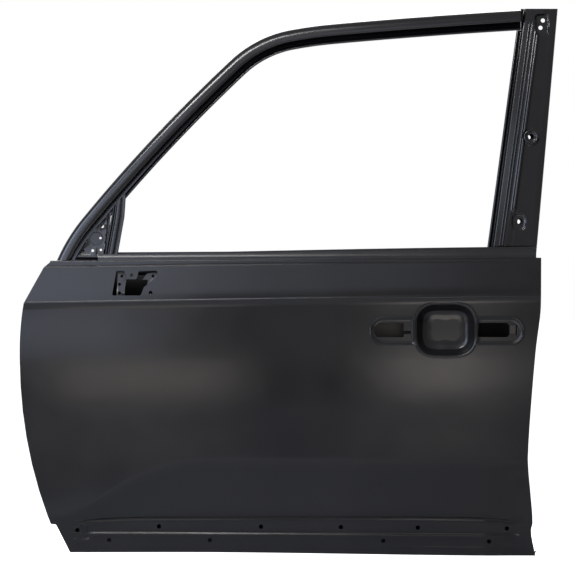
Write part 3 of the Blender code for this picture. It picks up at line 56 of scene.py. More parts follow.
# Outer skin. The real piece is one deep-drawn sheet of 0.8 mm steel with a sharp character line, a handle bowl
# between two shallow pods, a hollow below the doors' crease, and a joggled strip for the sill trim. Its edges are
# folded round the inner panel, then the whole body is dipped, which rounds each edge a little.
DOOR = Vector((-0.0920, -0.0560, -0.4950))  # the door's lower front corner, seen from the upper hinge face
GAP = 0.0003
SKIN_T = 0.0008
INNER_T = 0.0009
SKIN_LENGTH = 1.0962
FRONT_WIDEST_Z = 0.434
FRONT_TUCK_BELOW = 0.0655
FRONT_TUCK_POWER = 2.2
FRONT_TUCK_ABOVE = 0.0085
FRONT_TOP_CORNER_X = 0.0635
STRIP_FRONT_X = 0.0758
STRIP_FRONT_SLOPE = 0.5
REAR_WAIST = 0.0283
REAR_WAIST_Z = 0.207
REAR_FOOT = 0.0174
BELT_FRONT_Z = 0.6180
BELT_RISE = 0.0065
BOTTOM_FRONT_Z = 0.0080
CHARACTER_FRONT_Z = 0.5320
CHARACTER_RISE = 0.0160
CREASE_Z = 0.1990
STEP_Z = 0.0850
STEP_HEIGHT = 0.0110
RIDGE_Z = 0.0460
BAND_LEAN = 0.020
CHARACTER_UNDERCUT = 0.0030
CHARACTER_RADIUS = 0.0030
SCALLOP_LEAN = 0.28
SCALLOP_REAR_TUCK = 0.020
CREASE_RADIUS = 0.010
JOGGLE = 0.0050
RIDGE_HEIGHT = 0.0025
PLAN_BOW = 0.008
BELT_ROLL = 0.0035
BELT_FLANGE = 0.0095
HEM_WIDTH = 0.009
HEM_LAND = 0.016
REAR_ZONE = 0.128
HANDLE_Z = 0.4757
HANDLE_REAR_SETBACK = 0.2012
BOWL_WIDTH = 0.1254
BOWL_HEIGHT = 0.1109
BOWL_DEPTH = 0.024
POD_HEIGHT = 0.0540
POD_DROP = 0.0020
POD_DEPTH = 0.0032
FRONT_POD_LENGTH = 0.0900
REAR_POD_LENGTH = 0.0960
POD_LAND = 0.0040


def mix(a, b, t):
    return a + (b - a) * t


def ease(a, b, value):
    """A soft step from 0 at a to 1 at b."""
    t = min(1.0, max(0.0, (value - a) / (b - a)))
    return t * t * (3 - 2 * t)


def hinge(d, radius):
    """A bend of the sheet: 0 where d is negative, d where it is positive, rounded between."""
    return (d + math.sqrt(d * d + radius * radius)) / 2


def through(knots, t):
    """A smooth curve through knots of (position, value) that doesn't swing past them."""
    ts = [k[0] for k in knots]
    vs = [k[1] for k in knots]
    if t <= ts[0]:
        return vs[0]
    if t >= ts[-1]:
        return vs[-1]
    i = max(k for k in range(len(ts) - 1) if ts[k] <= t)
    slopes = [(vs[k + 1] - vs[k]) / (ts[k + 1] - ts[k]) for k in range(len(ts) - 1)]

    def tangent(k):
        if k == 0 or k == len(ts) - 1:
            return slopes[0 if k == 0 else -1]
        if slopes[k - 1] * slopes[k] <= 0:
            return 0.0
        return 2 * slopes[k - 1] * slopes[k] / (slopes[k - 1] + slopes[k])

    h = ts[i + 1] - ts[i]
    u = (t - ts[i]) / h
    value = vs[i] * (1 + 2 * u) * (1 - u) ** 2 + tangent(i) * h * u * (1 - u) ** 2
    return value + vs[i + 1] * u * u * (3 - 2 * u) + tangent(i + 1) * h * u * u * (u - 1)


def belt_z(c):
    return BELT_FRONT_Z + BELT_RISE * c / SKIN_LENGTH


def character_z(c):
    return CHARACTER_FRONT_Z + CHARACTER_RISE * c / SKIN_LENGTH


def bottom_z(c):
    return BOTTOM_FRONT_Z * (1 - ease(0.3 * SKIN_LENGTH, SKIN_LENGTH, c))


def step_z(c):
    front = (0.015, STEP_Z - 0.0165)
    rear = (SKIN_LENGTH - 0.015, STEP_Z - 0.0145)
    return through((front, (0.27, STEP_Z), (0.80, STEP_Z + 0.0004), (0.97, STEP_Z - 0.002), rear), c)


def step_foot_z(c):
    return step_z(c) - mix(0.0030, STEP_HEIGHT, ease(0.0, 0.24, c))


def ridge_z(c):
    return RIDGE_Z + 0.002 - 0.007 * c / SKIN_LENGTH


def crease_z(c):
    front = ((0.0, step_z(0) + 0.004), (0.095, STEP_Z + 0.002))
    rise = ((0.306, CREASE_Z - 0.009), (0.39, CREASE_Z + 0.003))
    line = through(front + rise + ((0.70, CREASE_Z), (SKIN_LENGTH, CREASE_Z - 0.004)), c)
    return max(line, step_z(c) + 0.004)


def front_edge(z):
    strip_top = STEP_Z - 0.0175
    if z < strip_top:
        return STRIP_FRONT_X + STRIP_FRONT_SLOPE * (strip_top - z)
    if z < FRONT_WIDEST_Z:
        return FRONT_TUCK_BELOW * ((FRONT_WIDEST_Z - z) / (FRONT_WIDEST_Z - strip_top)) ** FRONT_TUCK_POWER
    if z < CHARACTER_FRONT_Z:
        return FRONT_TUCK_ABOVE * ((z - FRONT_WIDEST_Z) / (CHARACTER_FRONT_Z - FRONT_WIDEST_Z)) ** 2
    corner_x, corner_z = 0.79 * FRONT_TOP_CORNER_X, BELT_FRONT_Z - 0.011
    if z < corner_z:
        return mix(FRONT_TUCK_ABOVE, corner_x, (z - CHARACTER_FRONT_Z) / (corner_z - CHARACTER_FRONT_Z))
    return mix(corner_x, FRONT_TOP_CORNER_X, (z - corner_z) / 0.011)


def rear_edge(z):
    waist = REAR_WAIST
    low = ((0.0, 0.4 * waist), (STEP_Z - 0.030, 0.0205), (STEP_Z - 0.016, REAR_FOOT), (0.131, 0.78 * waist))
    middle = ((REAR_WAIST_Z, waist), (0.249, 0.93 * waist), (0.366, 0.63 * waist), (FRONT_WIDEST_Z, 0.41 * waist))
    return through(low + middle + ((CHARACTER_FRONT_Z, 0.03 * waist), (BELT_FRONT_Z, 0.0)), z)


def place_x(c, z):
    """Where column c of the sheet lies at height z, drawn in towards the curved front and rear edges."""
    front = 1 - ease(HEM_LAND, 0.20, c)
    rear = ease(SKIN_LENGTH - REAR_ZONE, SKIN_LENGTH - HEM_LAND, c)
    return c + front * front_edge(z) - rear * rear_edge(z)


def inset_of(x, z, centre_x, centre_z, half_width, half_height, power):
    """Distance inside a rounded rectangle's rim, measured towards its centre."""
    dx, dz = x - centre_x, z - centre_z
    share = (abs(dx / half_width) ** power + abs(dz / half_height) ** power) ** (1 / power)
    return math.hypot(dx, dz) * (1 / max(share, 1e-6) - 1)


handle_x = SKIN_LENGTH - HANDLE_REAR_SETBACK
bowl_left = handle_x - BOWL_WIDTH / 2 - POD_LAND / 2
bowl_right = handle_x + BOWL_WIDTH / 2 + POD_LAND / 2
front_pod_x = bowl_left - POD_LAND / 2 - FRONT_POD_LENGTH / 2
rear_pod_x = bowl_right + POD_LAND / 2 + REAR_POD_LENGTH / 2
bowl_wall = ((-0.0038, 0.0), (-0.0016, -0.0008), (0.0025, 0.0018), (0.0060, 0.0072), (0.0110, 0.0152))
bowl_wall += ((0.0165, 0.0205), (0.0230, 0.0228), (0.0340, BOWL_DEPTH))
pod_wall = ((-0.0032, 0.0), (-0.0014, -0.0010), (0.0004, 0.0002), (0.0030, POD_DEPTH - 0.0003), (0.0052, POD_DEPTH))


def handle_recess(x, z):
    """How far the bowl and its two pods are drawn in at this point."""
    depth = through(bowl_wall, inset_of(x, z, handle_x, HANDLE_Z, BOWL_WIDTH / 2, BOWL_HEIGHT / 2, 3.2))
    for side, pod_x, length in ((-1, front_pod_x, FRONT_POD_LENGTH), (1, rear_pod_x, REAR_POD_LENGTH)):
        # Each pod has one round end, away from the bowl, and one straight end beside it.
        along = side * (x - pod_x)
        past = max(0.0, along - (length - POD_HEIGHT) / 2)
        inset = min(POD_HEIGHT / 2 - math.hypot(past, z - HANDLE_Z + POD_DROP), along + length / 2)
        pod = through(pod_wall, inset)
        depth = depth + pod if depth < 0.0004 else depth
    return depth


BOSS_X = 0.1212
BOSS_Z = 0.0548


def boss_relief(x, z):
    """Oval recess at the strip's front end with a round boss for the front screw."""
    oval = inset_of(x, z, BOSS_X + 0.0095, BOSS_Z - 0.0030, 0.0235, 0.0170, 2.6)
    sunk = 0.0028 * ease(-0.001, 0.004, oval)
    return sunk - 0.0030 * (1 - ease(0.0095, 0.0145, math.hypot(x - BOSS_X, z - BOSS_Z))) * ease(-0.001, 0.004, oval)


CREST_REACH = 0.014
CREST_HEIGHT = 0.0010
CREST_HALF_WIDTH = 0.0036


def swell_of(t):
    """A smooth hump of height 1 between -1 and 1."""
    return (1 - t * t) ** 2 if abs(t) < 1 else 0.0


def skin_y(x, z):
    """Depth of the skin's outer face behind the door's front plane, without handle recess and boss."""
    c = min(max(x, 0.0), SKIN_LENGTH)
    above = z - character_z(c)
    lean = BAND_LEAN / (BELT_FRONT_Z - CHARACTER_FRONT_Z)
    y = lean * hinge(above, CHARACTER_RADIUS)
    y += CHARACTER_UNDERCUT * ease(0.0, 0.014, -above)
    # The crest of the line stands a hair proud, as a tool radius of about a millimetre leaves it.
    beside_crest = swell_of(above / CREST_REACH)
    y += CREST_HEIGHT * beside_crest * (1 - max(0.0, 1 - (above / CREST_HALF_WIDTH) ** 2)) + 0.0002 * beside_crest
    y -= 0.006 * ease(0.0, 0.16, -above) * (1 - ease(0.16, 0.33, -above))
    scallop = SCALLOP_LEAN * hinge(crease_z(c) - z, CREASE_RADIUS)
    y += scallop * (1 - 0.35 * ease(0.0, 0.16, crease_z(c) - z))
    y += SCALLOP_REAR_TUCK * ease(SKIN_LENGTH - 0.12, SKIN_LENGTH - 0.045, c) * ease(0.0, 0.05, crease_z(c) - z)
    inside = ease(0.085, 0.16, c) * (1 - ease(SKIN_LENGTH - 0.075, SKIN_LENGTH - 0.03, c))
    fall = (step_z(c) - z) / (step_z(c) - step_foot_z(c))
    y += JOGGLE * inside * ease(0, 0.5, fall)
    y -= 0.0010 * inside * swell_of((z - step_foot_z(c) - 0.0010) / 0.0030)
    # Each bead has a tight groove above it and a long slope below, as the sill trim's seat has.
    up = z - ridge_z(c)
    y += 0.0012 * inside * swell_of((up - 0.0058) / 0.0028)
    y -= RIDGE_HEIGHT * inside * (ease(0.0040, 0.0, up) if up > 0 else ease(-0.0100, 0.0, up))
    y -= 0.0007 * ease(0.70, 0.85, c) * inside * swell_of((z - bottom_z(c) - 0.0165) / 0.0022)
    # A shallow groove below the rolled belt edge.
    y += 0.0011 * swell_of((belt_z(c) - z - mix(0.0098, 0.0036, c / SKIN_LENGTH)) / 0.0018)
    return y + PLAN_BOW * ((x - SKIN_LENGTH / 2) / (SKIN_LENGTH / 2)) ** 2


block_low = HANDLE_Z - BOWL_HEIGHT / 2 - 0.006
pod_low = HANDLE_Z - POD_DROP - POD_HEIGHT / 2 - 0.005
pod_high = HANDLE_Z - POD_DROP + POD_HEIGHT / 2 + 0.005
# Feature lines from the bottom edge to the belt, each with the number of strips up to the next one.
skin_lines = (
    (bottom_z, 3),
    (lambda c: bottom_z(c) + HEM_LAND - 0.003, 5),
    (lambda c: bottom_z(c) + HEM_LAND + 0.003, 4),
    (lambda c: ridge_z(c) - 0.010, 4),
    (ridge_z, 10),
    (lambda c: ridge_z(c) + 0.009, 3),
    (lambda c: step_foot_z(c) - 0.003, 4),
    (step_foot_z, 10),
    (step_z, 4),
    (lambda c: mix(step_z(c), crease_z(c), 0.35), 4),
    (lambda c: mix(step_z(c), crease_z(c), 0.72), 5),
    (crease_z, 4),
    (lambda c: crease_z(c) + 0.012, 6),
    (lambda c: block_low, 18),
    (lambda c: pod_low, 36),
    (lambda c: pod_high, 14),
    (lambda c: character_z(c) - 0.010, 5),
    (lambda c: character_z(c) - 0.0025, 10),
    (lambda c: character_z(c) + 0.0025, 4),
    (lambda c: character_z(c) + 0.007, 7),
    (lambda c: belt_z(c) - mix(0.0120, 0.0058, c / SKIN_LENGTH), 7),
    (lambda c: belt_z(c) - mix(0.0078, 0.0016, c / SKIN_LENGTH), 3),
    (belt_z, 0),
)
skin_rows = [r + k / count for r, (_, count) in enumerate(skin_lines) for k in range(count)]
skin_rows.append(len(skin_lines) - 1)
skin_columns = []
for start, end, count in (
    (0.0, HEM_LAND, 5),
    (HEM_LAND, 0.10, 16),
    (0.10, 0.16, 24),
    (0.16, 0.73, 46),
    (0.73, bowl_left, 40),
    (bowl_left, bowl_right, 66),
    (bowl_right, 1.070, 44),
    (1.070, SKIN_LENGTH, 10),
):
    skin_columns += [mix(start, end, k / count) for k in range(count)]
skin_columns.append(SKIN_LENGTH)


def skin_point(c, r):
    j = min(int(r), len(skin_lines) - 2)
    z = mix(skin_lines[j][0](c), skin_lines[j + 1][0](c), r - j)
    x = place_x(c, z)
    return Vector((x, skin_y(x, z) + handle_recess(x, z) + boss_relief(x, z), z))


def pressed_sheet(name, columns, rows, place):
    """A flat grid drawn into the form that place(column, row) gives, its face towards -Y."""
    bpy.ops.object.select_all(action="DESELECT")
    bpy.ops.mesh.primitive_grid_add(x_subdivisions=len(columns) - 1, y_subdivisions=len(rows) - 1, size=2)
    sheet = bpy.context.object
    sheet.name = sheet.data.name = name
    for k, vertex in enumerate(sheet.data.vertices):
        row, column = divmod(k, len(columns))
        vertex.co = DOOR + place(columns[column], rows[row])
    return sheet


def face_outwards(sheet, probe):
    """Turns the sheet's faces over when the face nearest to probe looks away from the street side."""
    nearest = min(sheet.data.polygons, key=lambda face: (face.center - DOOR - probe).length)
    if nearest.normal.y > 0:
        sheet.data.flip_normals()


def draw_edge(sheet, picked, *moves):
    """Extrudes the open edges whose ends are picked, once for each move."""
    for move in moves:
        bpy.ops.object.mode_set(mode="EDIT")
        bpy.ops.mesh.select_mode(type="EDGE")
        bpy.ops.mesh.select_all(action="DESELECT")
        bpy.ops.object.mode_set(mode="OBJECT")
        for edge in sheet.data.edges:
            edge.select = tuple(sorted(edge.vertices)) in picked
        bpy.ops.object.mode_set(mode="EDIT")
        bpy.ops.mesh.extrude_edges_move()
        bpy.ops.object.mode_set(mode="OBJECT")
        fresh = {v.index for v in sheet.data.vertices if v.select}
        for k in fresh:
            sheet.data.vertices[k].co = DOOR + move(sheet.data.vertices[k].co - DOOR)
        picked = {tuple(sorted(e.vertices)) for e in sheet.data.edges if set(e.vertices) <= fresh}


def apply_all(piece):
    bpy.ops.object.select_all(action="DESELECT")
    piece.select_set(True)
    bpy.context.view_layer.objects.active = piece
    for modifier in list(piece.modifiers):
        bpy.ops.object.modifier_apply(modifier=modifier.name)


def give_thickness(sheet, thickness):
    solid = sheet.modifiers.new("sheet", "SOLIDIFY")
    solid.thickness = thickness
    solid.offset = -1
    solid.use_even_offset = True
    apply_all(sheet)


def back_face(sheet, thickness):
    """Gives a pressed sheet its back, straight behind the front, as deep small forms need."""
    bpy.ops.object.select_all(action="DESELECT")
    sheet.select_set(True)
    bpy.context.view_layer.objects.active = sheet
    bpy.ops.object.mode_set(mode="EDIT")
    bpy.ops.mesh.select_mode(type="FACE")
    bpy.ops.mesh.select_all(action="SELECT")
    bpy.ops.mesh.extrude_region_move(TRANSFORM_OT_translate={"value": (0, thickness, 0)})
    bpy.ops.mesh.select_all(action="SELECT")
    bpy.ops.mesh.normals_make_consistent(inside=False)
    bpy.ops.object.mode_set(mode="OBJECT")


def punch(sheet, holes, low_y=-0.1, high_y=0.3):
    """Cuts outlines, given as lists of (x, z), straight through the sheet."""
    points, faces = [], []
    for outline in holes:
        start, count = len(points), len(outline)
        points += [DOOR + Vector((x, y, z)) for y in (low_y, high_y) for x, z in outline]
        for k in range(count):
            ahead = (k + 1) % count
            faces.append([start + k, start + ahead, start + count + ahead, start + count + k])
        faces += [list(range(start, start + count))[::-1], list(range(start + count, start + 2 * count))]
    mesh = bpy.data.meshes.new("punch")
    mesh.from_pydata([tuple(p) for p in points], [], faces)
    work = bmesh.new()
    work.from_mesh(mesh)
    bmesh.ops.recalc_face_normals(work, faces=work.faces)
    work.to_mesh(mesh)
    work.free()
    tool = bpy.data.objects.new("punch", mesh)
    bpy.context.scene.collection.objects.link(tool)
    cut = sheet.modifiers.new("punch", "BOOLEAN")
    cut.object = tool
    cut.solver = "EXACT"
    apply_all(sheet)
    bpy.data.objects.remove(tool, do_unlink=True)


def smooth(piece, degrees=35):
    bpy.ops.object.select_all(action="DESELECT")
    piece.select_set(True)
    bpy.context.view_layer.objects.active = piece
    bpy.ops.object.shade_smooth_by_angle(angle=math.radians(degrees))


def round_hole(x, z, radius, steps=32):
    angles = [2 * math.pi * k / steps for k in range(steps)]
    return [(x + radius * math.cos(angle), z + radius * math.sin(angle)) for angle in angles]


def arc(start, corner, end, steps):
    """Points of a soft curve from start to end that leaves and arrives along the corner's two sides."""
    shares = [s / steps for s in range(steps + 1)]
    return [start * (1 - t) ** 2 + corner * 2 * t * (1 - t) + end * t * t for t in shares]


def rounded(corners, radius, steps=6):
    """A closed outline with each corner turned into a small arc."""
    outline = []
    for k in range(len(corners)):
        before, here, after = (Vector(corners[(k + d) % len(corners)]) for d in (-1, 0, 1))
        into, out = (before - here).normalized(), (after - here).normalized()
        longest = 0.45 * min((before - here).length, (after - here).length)
        reach = min(radius / math.tan(into.angle(out) / 2), longest)
        outline += [tuple(point) for point in arc(here + into * reach, here, here + out * reach, steps)]
    return outline


skin = pressed_sheet("door_skin", skin_columns, skin_rows, skin_point)
face_outwards(skin, Vector((0.5, 0, 0.3)))
columns, rows = len(skin_columns), len(skin_rows)
front_side = [k * columns for k in range(rows)]
rear_side = [k * columns + columns - 1 for k in range(rows)]
bottom_side = list(range(columns))
top_side = [(rows - 1) * columns + k for k in range(columns)]


def chain(line):
    return {tuple(sorted(pair)) for pair in zip(line, line[1:])}


hem_depth = 2 * SKIN_T + INNER_T + 0.0010


def hem_inwards(p):
    front = 1 - ease(0.0, 0.004, p.x - place_x(0.0, p.z))
    rear = 1 - ease(0.0, 0.004, place_x(SKIN_LENGTH, p.z) - p.x)
    bottom = 1 - ease(0.0, 0.004, p.z - bottom_z(p.x))
    return p + Vector((HEM_WIDTH * (front - rear), 0, HEM_WIDTH * bottom))


hem_moves = (
    lambda p: p + Vector((0, 0.35 * hem_depth, 0)),
    lambda p: p + Vector((0, 0.65 * hem_depth, 0)),
    lambda p: mix(p, hem_inwards(p), 0.15) + Vector((0, 0.00025, 0)),
    lambda p: mix(p, hem_inwards(p), 0.85),
)
roll_moves = (
    lambda p: p + Vector((0, BELT_ROLL * 0.12, BELT_ROLL * 0.45)),
    lambda p: p + Vector((0, BELT_ROLL * 0.28, BELT_ROLL * 0.35)),
    lambda p: p + Vector((0, BELT_ROLL * 0.60, BELT_ROLL * 0.20)),
    lambda p: p + Vector((0, BELT_FLANGE - BELT_ROLL, 0)),
)
draw_edge(skin, chain(front_side) | chain(bottom_side) | chain(rear_side), *hem_moves)
draw_edge(skin, chain(top_side), *roll_moves)
give_thickness(skin, SKIN_T)
LEG_LENGTH = 0.0630
LEG_HEIGHT = 0.0300
SLOT_LENGTH = 0.0150
SLOT_HEIGHT = 0.0062
LOCK_LENGTH = 0.0200
LOCK_HEIGHT = 0.0200
MIRROR_X = 0.1940
MIRROR_TOP_Z = 0.6002
MIRROR_BOTTOM_Z = 0.5480
MIRROR_FOOT_WIDTH = 0.0600
MIRROR_FRONT_REACH = 0.0900
MIRROR_TAB_X = 0.2354
MIRROR_TAB_RADIUS = 0.0100
MIRROR_TAB_HOLE_RADIUS = 0.0034
MIRROR_SCREW_HOLE_RADIUS = 0.0040
BOSS_HOLE_RADIUS = 0.0046
leg_z = HANDLE_Z - POD_DROP + 0.0020
leg_low, leg_top = leg_z - LEG_HEIGHT / 2, leg_z + LEG_HEIGHT / 2
leg_start = front_pod_x - 0.0080 - LEG_LENGTH / 2
leg_end = leg_start + LEG_LENGTH
slot_low = leg_z - SLOT_HEIGHT - 0.002
front_leg = [(leg_start + 0.0006, leg_z - 0.0060), (leg_start + 0.0070, leg_low), (leg_end, leg_low)]
front_leg += [(leg_end, slot_low), (leg_end + SLOT_LENGTH, slot_low)]
front_leg += [(leg_end + SLOT_LENGTH, slot_low + SLOT_HEIGHT), (leg_end, slot_low + SLOT_HEIGHT)]
front_leg += [(leg_end, leg_top), (leg_start + 0.0100, leg_top), (leg_start + 0.0006, leg_z + 0.0060)]
lock_start = rear_pod_x - 0.0150 - LEG_LENGTH / 2
lock_end = lock_start + LEG_LENGTH
rear_leg = [(lock_start, leg_low), (lock_end, leg_low), (lock_end, leg_z - LOCK_HEIGHT / 2)]
rear_leg += [(lock_end + LOCK_LENGTH, leg_z - LOCK_HEIGHT / 2), (lock_end + LOCK_LENGTH, leg_z + LOCK_HEIGHT / 2)]
rear_leg += [(lock_end, leg_z + LOCK_HEIGHT / 2), (lock_end, leg_top), (lock_start, leg_top)]
mx, mz, mt = MIRROR_X, MIRROR_BOTTOM_Z, MIRROR_TOP_Z
mirror_cut = [(mx, mz), (mx + MIRROR_FOOT_WIDTH, mz), (mx + 0.75 * MIRROR_FRONT_REACH, mz + 0.018)]
mirror_cut += [(mx + MIRROR_FRONT_REACH + 0.006, mt - 0.012), (mx + MIRROR_FRONT_REACH + 0.005, mt)]
mirror_cut += [(MIRROR_TAB_X + 1.5 * MIRROR_TAB_RADIUS, mt), (MIRROR_TAB_X + MIRROR_TAB_RADIUS, mt - 0.018)]
mirror_cut += [(MIRROR_TAB_X - MIRROR_TAB_RADIUS, mt - 0.018), (MIRROR_TAB_X - 1.5 * MIRROR_TAB_RADIUS, mt)]
mirror_cut += [(mx + 0.009, mt)]
# The sill trim's clips sit in two rows of holes, which fall a little towards the latch edge.
CLIP_HOLE_RADIUS = 0.0045
clip_holes = [(x, 0.0625 - 0.006 * (x / SKIN_LENGTH) ** 3) for x in (0.2925, 0.5070, 0.6752, 0.8369, 1.0244)]
clip_holes += [(x, 0.0335 - 0.004 * (x / SKIN_LENGTH) ** 3) for x in (0.1875, 0.3996, 0.7642, 0.9866)]
punch(
    skin,
    [
        rounded(front_leg, 0.003),
        rounded(rear_leg, 0.003),
        rounded(mirror_cut, 0.004),
        round_hole(MIRROR_TAB_X, mt - 0.0092, MIRROR_TAB_HOLE_RADIUS),
        round_hole(mx + 0.0813, mz + 0.006, MIRROR_SCREW_HOLE_RADIUS),
        round_hole(BOSS_X, BOSS_Z, BOSS_HOLE_RADIUS),
    ]
    + [round_hole(x, z, CLIP_HOLE_RADIUS) for x, z in clip_holes],
)
smooth(skin, 40)


def linear(code):
    """An sRGB hex colour as linear RGBA."""
    parts = [int(code[k : k + 2], 16) / 255 for k in (1, 3, 5)]
    return (*(p / 12.92 if p <= 0.04045 else ((p + 0.055) / 1.055) ** 2.4 for p in parts), 1)


def add_node(tree, kind, settings=None, inputs=None, links=None):
    """A node with its settings, its constant inputs and its incoming links, each as (node, output)."""
    node = tree.nodes.new(kind)
    for name, value in (settings or {}).items():
        setattr(node, name, value)
    for name, value in (inputs or {}).items():
        node.inputs[name].default_value = value
    for name, (source, output) in (links or {}).items():
        tree.links.new(source.outputs[output], node.inputs[name])
    return node


def electrocoat(name, dark, light, roughness, wave_mm=90, wave_depth=0.10, gloss=0.30, peel_depth=0.02):
    """Baked dip primer on drawn steel: satin gloss, a faint long wave in the sheet, fine grain, dulling dust."""
    finish = bpy.data.materials.new(name)
    finish.use_nodes = True
    tree = finish.node_tree
    shader = tree.nodes["Principled BSDF"]
    shader.inputs["Metallic"].default_value = 0.0
    shader.inputs["IOR"].default_value = 1.50
    shader.inputs["Specular IOR Level"].default_value = gloss
    place = add_node(tree, "ShaderNodeTexCoord")
    on_sheet = {"Vector": (place, "Object")}
    cloud = add_node(tree, "ShaderNodeTexNoise", {}, {"Scale": 1000 / 160, "Detail": 5.0, "Roughness": 0.6}, on_sheet)
    shade = add_node(tree, "ShaderNodeValToRGB", {}, {}, {"Fac": (cloud, "Fac")})
    shade.color_ramp.elements[0].position = 0.30
    shade.color_ramp.elements[0].color = linear(dark)
    shade.color_ramp.elements[1].position = 0.72
    shade.color_ramp.elements[1].color = linear(light)
    tree.links.new(shade.outputs["Color"], shader.inputs["Base Color"])
    spread = {"From Min": 0.3, "From Max": 0.7, "To Min": roughness - 0.03, "To Max": roughness + 0.04}
    dull = add_node(tree, "ShaderNodeMapRange", {}, spread, {"Value": (cloud, "Fac")})
    tree.links.new(dull.outputs["Result"], shader.inputs["Roughness"])
    wave = add_node(tree, "ShaderNodeTexNoise", {}, {"Scale": 1000 / wave_mm, "Detail": 1.0}, on_sheet)
    grain = add_node(tree, "ShaderNodeTexNoise", {}, {"Scale": 1000 / 1.6, "Detail": 2.0}, on_sheet)
    swell = add_node(
        tree, "ShaderNodeBump", {}, {"Strength": wave_depth, "Distance": 0.004}, {"Height": (wave, "Fac")}
    )
    heights = {"Height": (grain, "Fac"), "Normal": (swell, "Normal")}
    peel = add_node(tree, "ShaderNodeBump", {}, {"Strength": peel_depth, "Distance": 0.0002}, heights)
    tree.links.new(peel.outputs["Normal"], shader.inputs["Normal"])
    return finish


skin_finish = electrocoat("electrocoat_on_drawn_skin", "#070708", "#0b0b0b", 0.22, gloss=0.13)
skin.data.materials.clear()
skin.data.materials.append(skin_finish)
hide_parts("outer_skin")
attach(skin, "root")

# Front sash. The real piece is a strip of steel roll-formed into a closed pillar with a channel for the glass run,
# then stretch-bent into the windscreen pillar and the header in one length.
FRAME_BELT_Z = 0.6400
FRAME_BELT_Y = 0.0440
FRAME_LEAN = 0.11
FRAME_CURVE = 0.22
SASH_T = 0.0011
SASH_WIDTH = 0.0430
REAR_SASH_SETBACK = 0.0091
REAR_SASH_FOOT_WIDTH = 0.1051
REAR_WINDOW_LEAN = 0.1387
REAR_OUTER_LEAN = 0.0925
HEADER_END_INSET = 0.0072
SASH_FOOT_DEPTH = 0.0155
PILLAR_FOOT_X = 0.0790
PILLAR_FOOT_Z = 0.6255
PILLAR_RISE = 66.2  # degrees above level where the pillar leaves the belt
# (length along the frame, turn in degrees, steps); the header's length follows from where the rear sash stands.
sash_arcs = ((0.1000, -15.5, 10), (0.4595, -7.3, 16), (0.1400, -32.6, 24), (0.0896, -5.6, 8), (None, -1.9, 10))


def frame_y(z):
    h = z - FRAME_BELT_Z
    return FRAME_BELT_Y + FRAME_LEAN * h + FRAME_CURVE * h * h


def frame_slope(z):
    return FRAME_LEAN + 2 * FRAME_CURVE * (z - FRAME_BELT_Z)


def window_edge_x(z):
    return SKIN_LENGTH - REAR_SASH_SETBACK - REAR_SASH_FOOT_WIDTH + REAR_WINDOW_LEAN * (z - FRAME_BELT_Z)


def outer_edge_x(z):
    return SKIN_LENGTH - REAR_SASH_SETBACK + REAR_OUTER_LEAN * (z - FRAME_BELT_Z)


sash_stations = []
x, z, heading = PILLAR_FOOT_X, PILLAR_FOOT_Z, math.radians(PILLAR_RISE)
sash_stations += [(x - SASH_FOOT_DEPTH / math.tan(heading), z - SASH_FOOT_DEPTH, heading), (x, z, heading)]
for length, turn, steps in sash_arcs:
    if length is None:
        length = (window_edge_x(z) + HEADER_END_INSET - x) / math.cos(heading + math.radians(turn) / 2)
    for _ in range(steps):
        heading += math.radians(turn) / steps / 2
        x += length / steps * math.cos(heading)
        z += length / steps * math.sin(heading)
        heading += math.radians(turn) / steps / 2
        sash_stations.append((x, z, heading))
header_end_x, header_end_z, header_heading = sash_stations[-1]
header_low_z = header_end_z - SASH_WIDTH / math.cos(header_heading)
w = SASH_WIDTH
sash_section = [
    (w - 0.0006, 0.0215), (w - 0.0012, 0.0185), (w - 0.0030, 0.0172), (w - 0.0052, 0.0190), (w - 0.0064, 0.0236),
    (0.0140, 0.0236), (0.0132, 0.0060), (0.0235, 0.0052), (0.0252, 0.0034), (0.0236, 0.0014),
    (0.0180, 0.0002), (0.0110, 0.0000), (0.0060, 0.0014), (0.0022, 0.0044), (0.0006, 0.0090),
    (0.0006, 0.0250), (0.0030, 0.0285), (0.0115, 0.0285), (0.0145, 0.0258), (w - 0.0095, 0.0258),
]


def soft_line(line, radius, steps=4):
    """An open line with each corner turned into a small arc."""
    drawn = [Vector(line[0])]
    for before, here, after in zip(line, line[1:], line[2:]):
        before, here, after = Vector(before), Vector(here), Vector(after)
        reach = min(radius, 0.45 * (before - here).length, 0.45 * (after - here).length)
        start = here + (before - here).normalized() * reach
        end = here + (after - here).normalized() * reach
        drawn += arc(start, here, end, steps)
    return drawn + [Vector(line[-1])]


def sash_frame(k):
    """Origin and the direction towards the window at station k, the ends cut along the belt and upright."""
    x, z, heading = sash_stations[k]
    inward = Vector((math.sin(heading), 0, -math.cos(heading)))
    if k == 0:
        inward = Vector((1 / math.sin(heading), 0, 0))
    if k == len(sash_stations) - 1:
        inward = Vector((0, 0, -1 / math.cos(heading)))
    inward.y = inward.z * frame_slope(z)
    return Vector((x, frame_y(z), z)), inward


def sash_point(k, p):
    origin, inward = sash_frame(k)
    return origin + inward * p.x + Vector((0, p.y, 0))


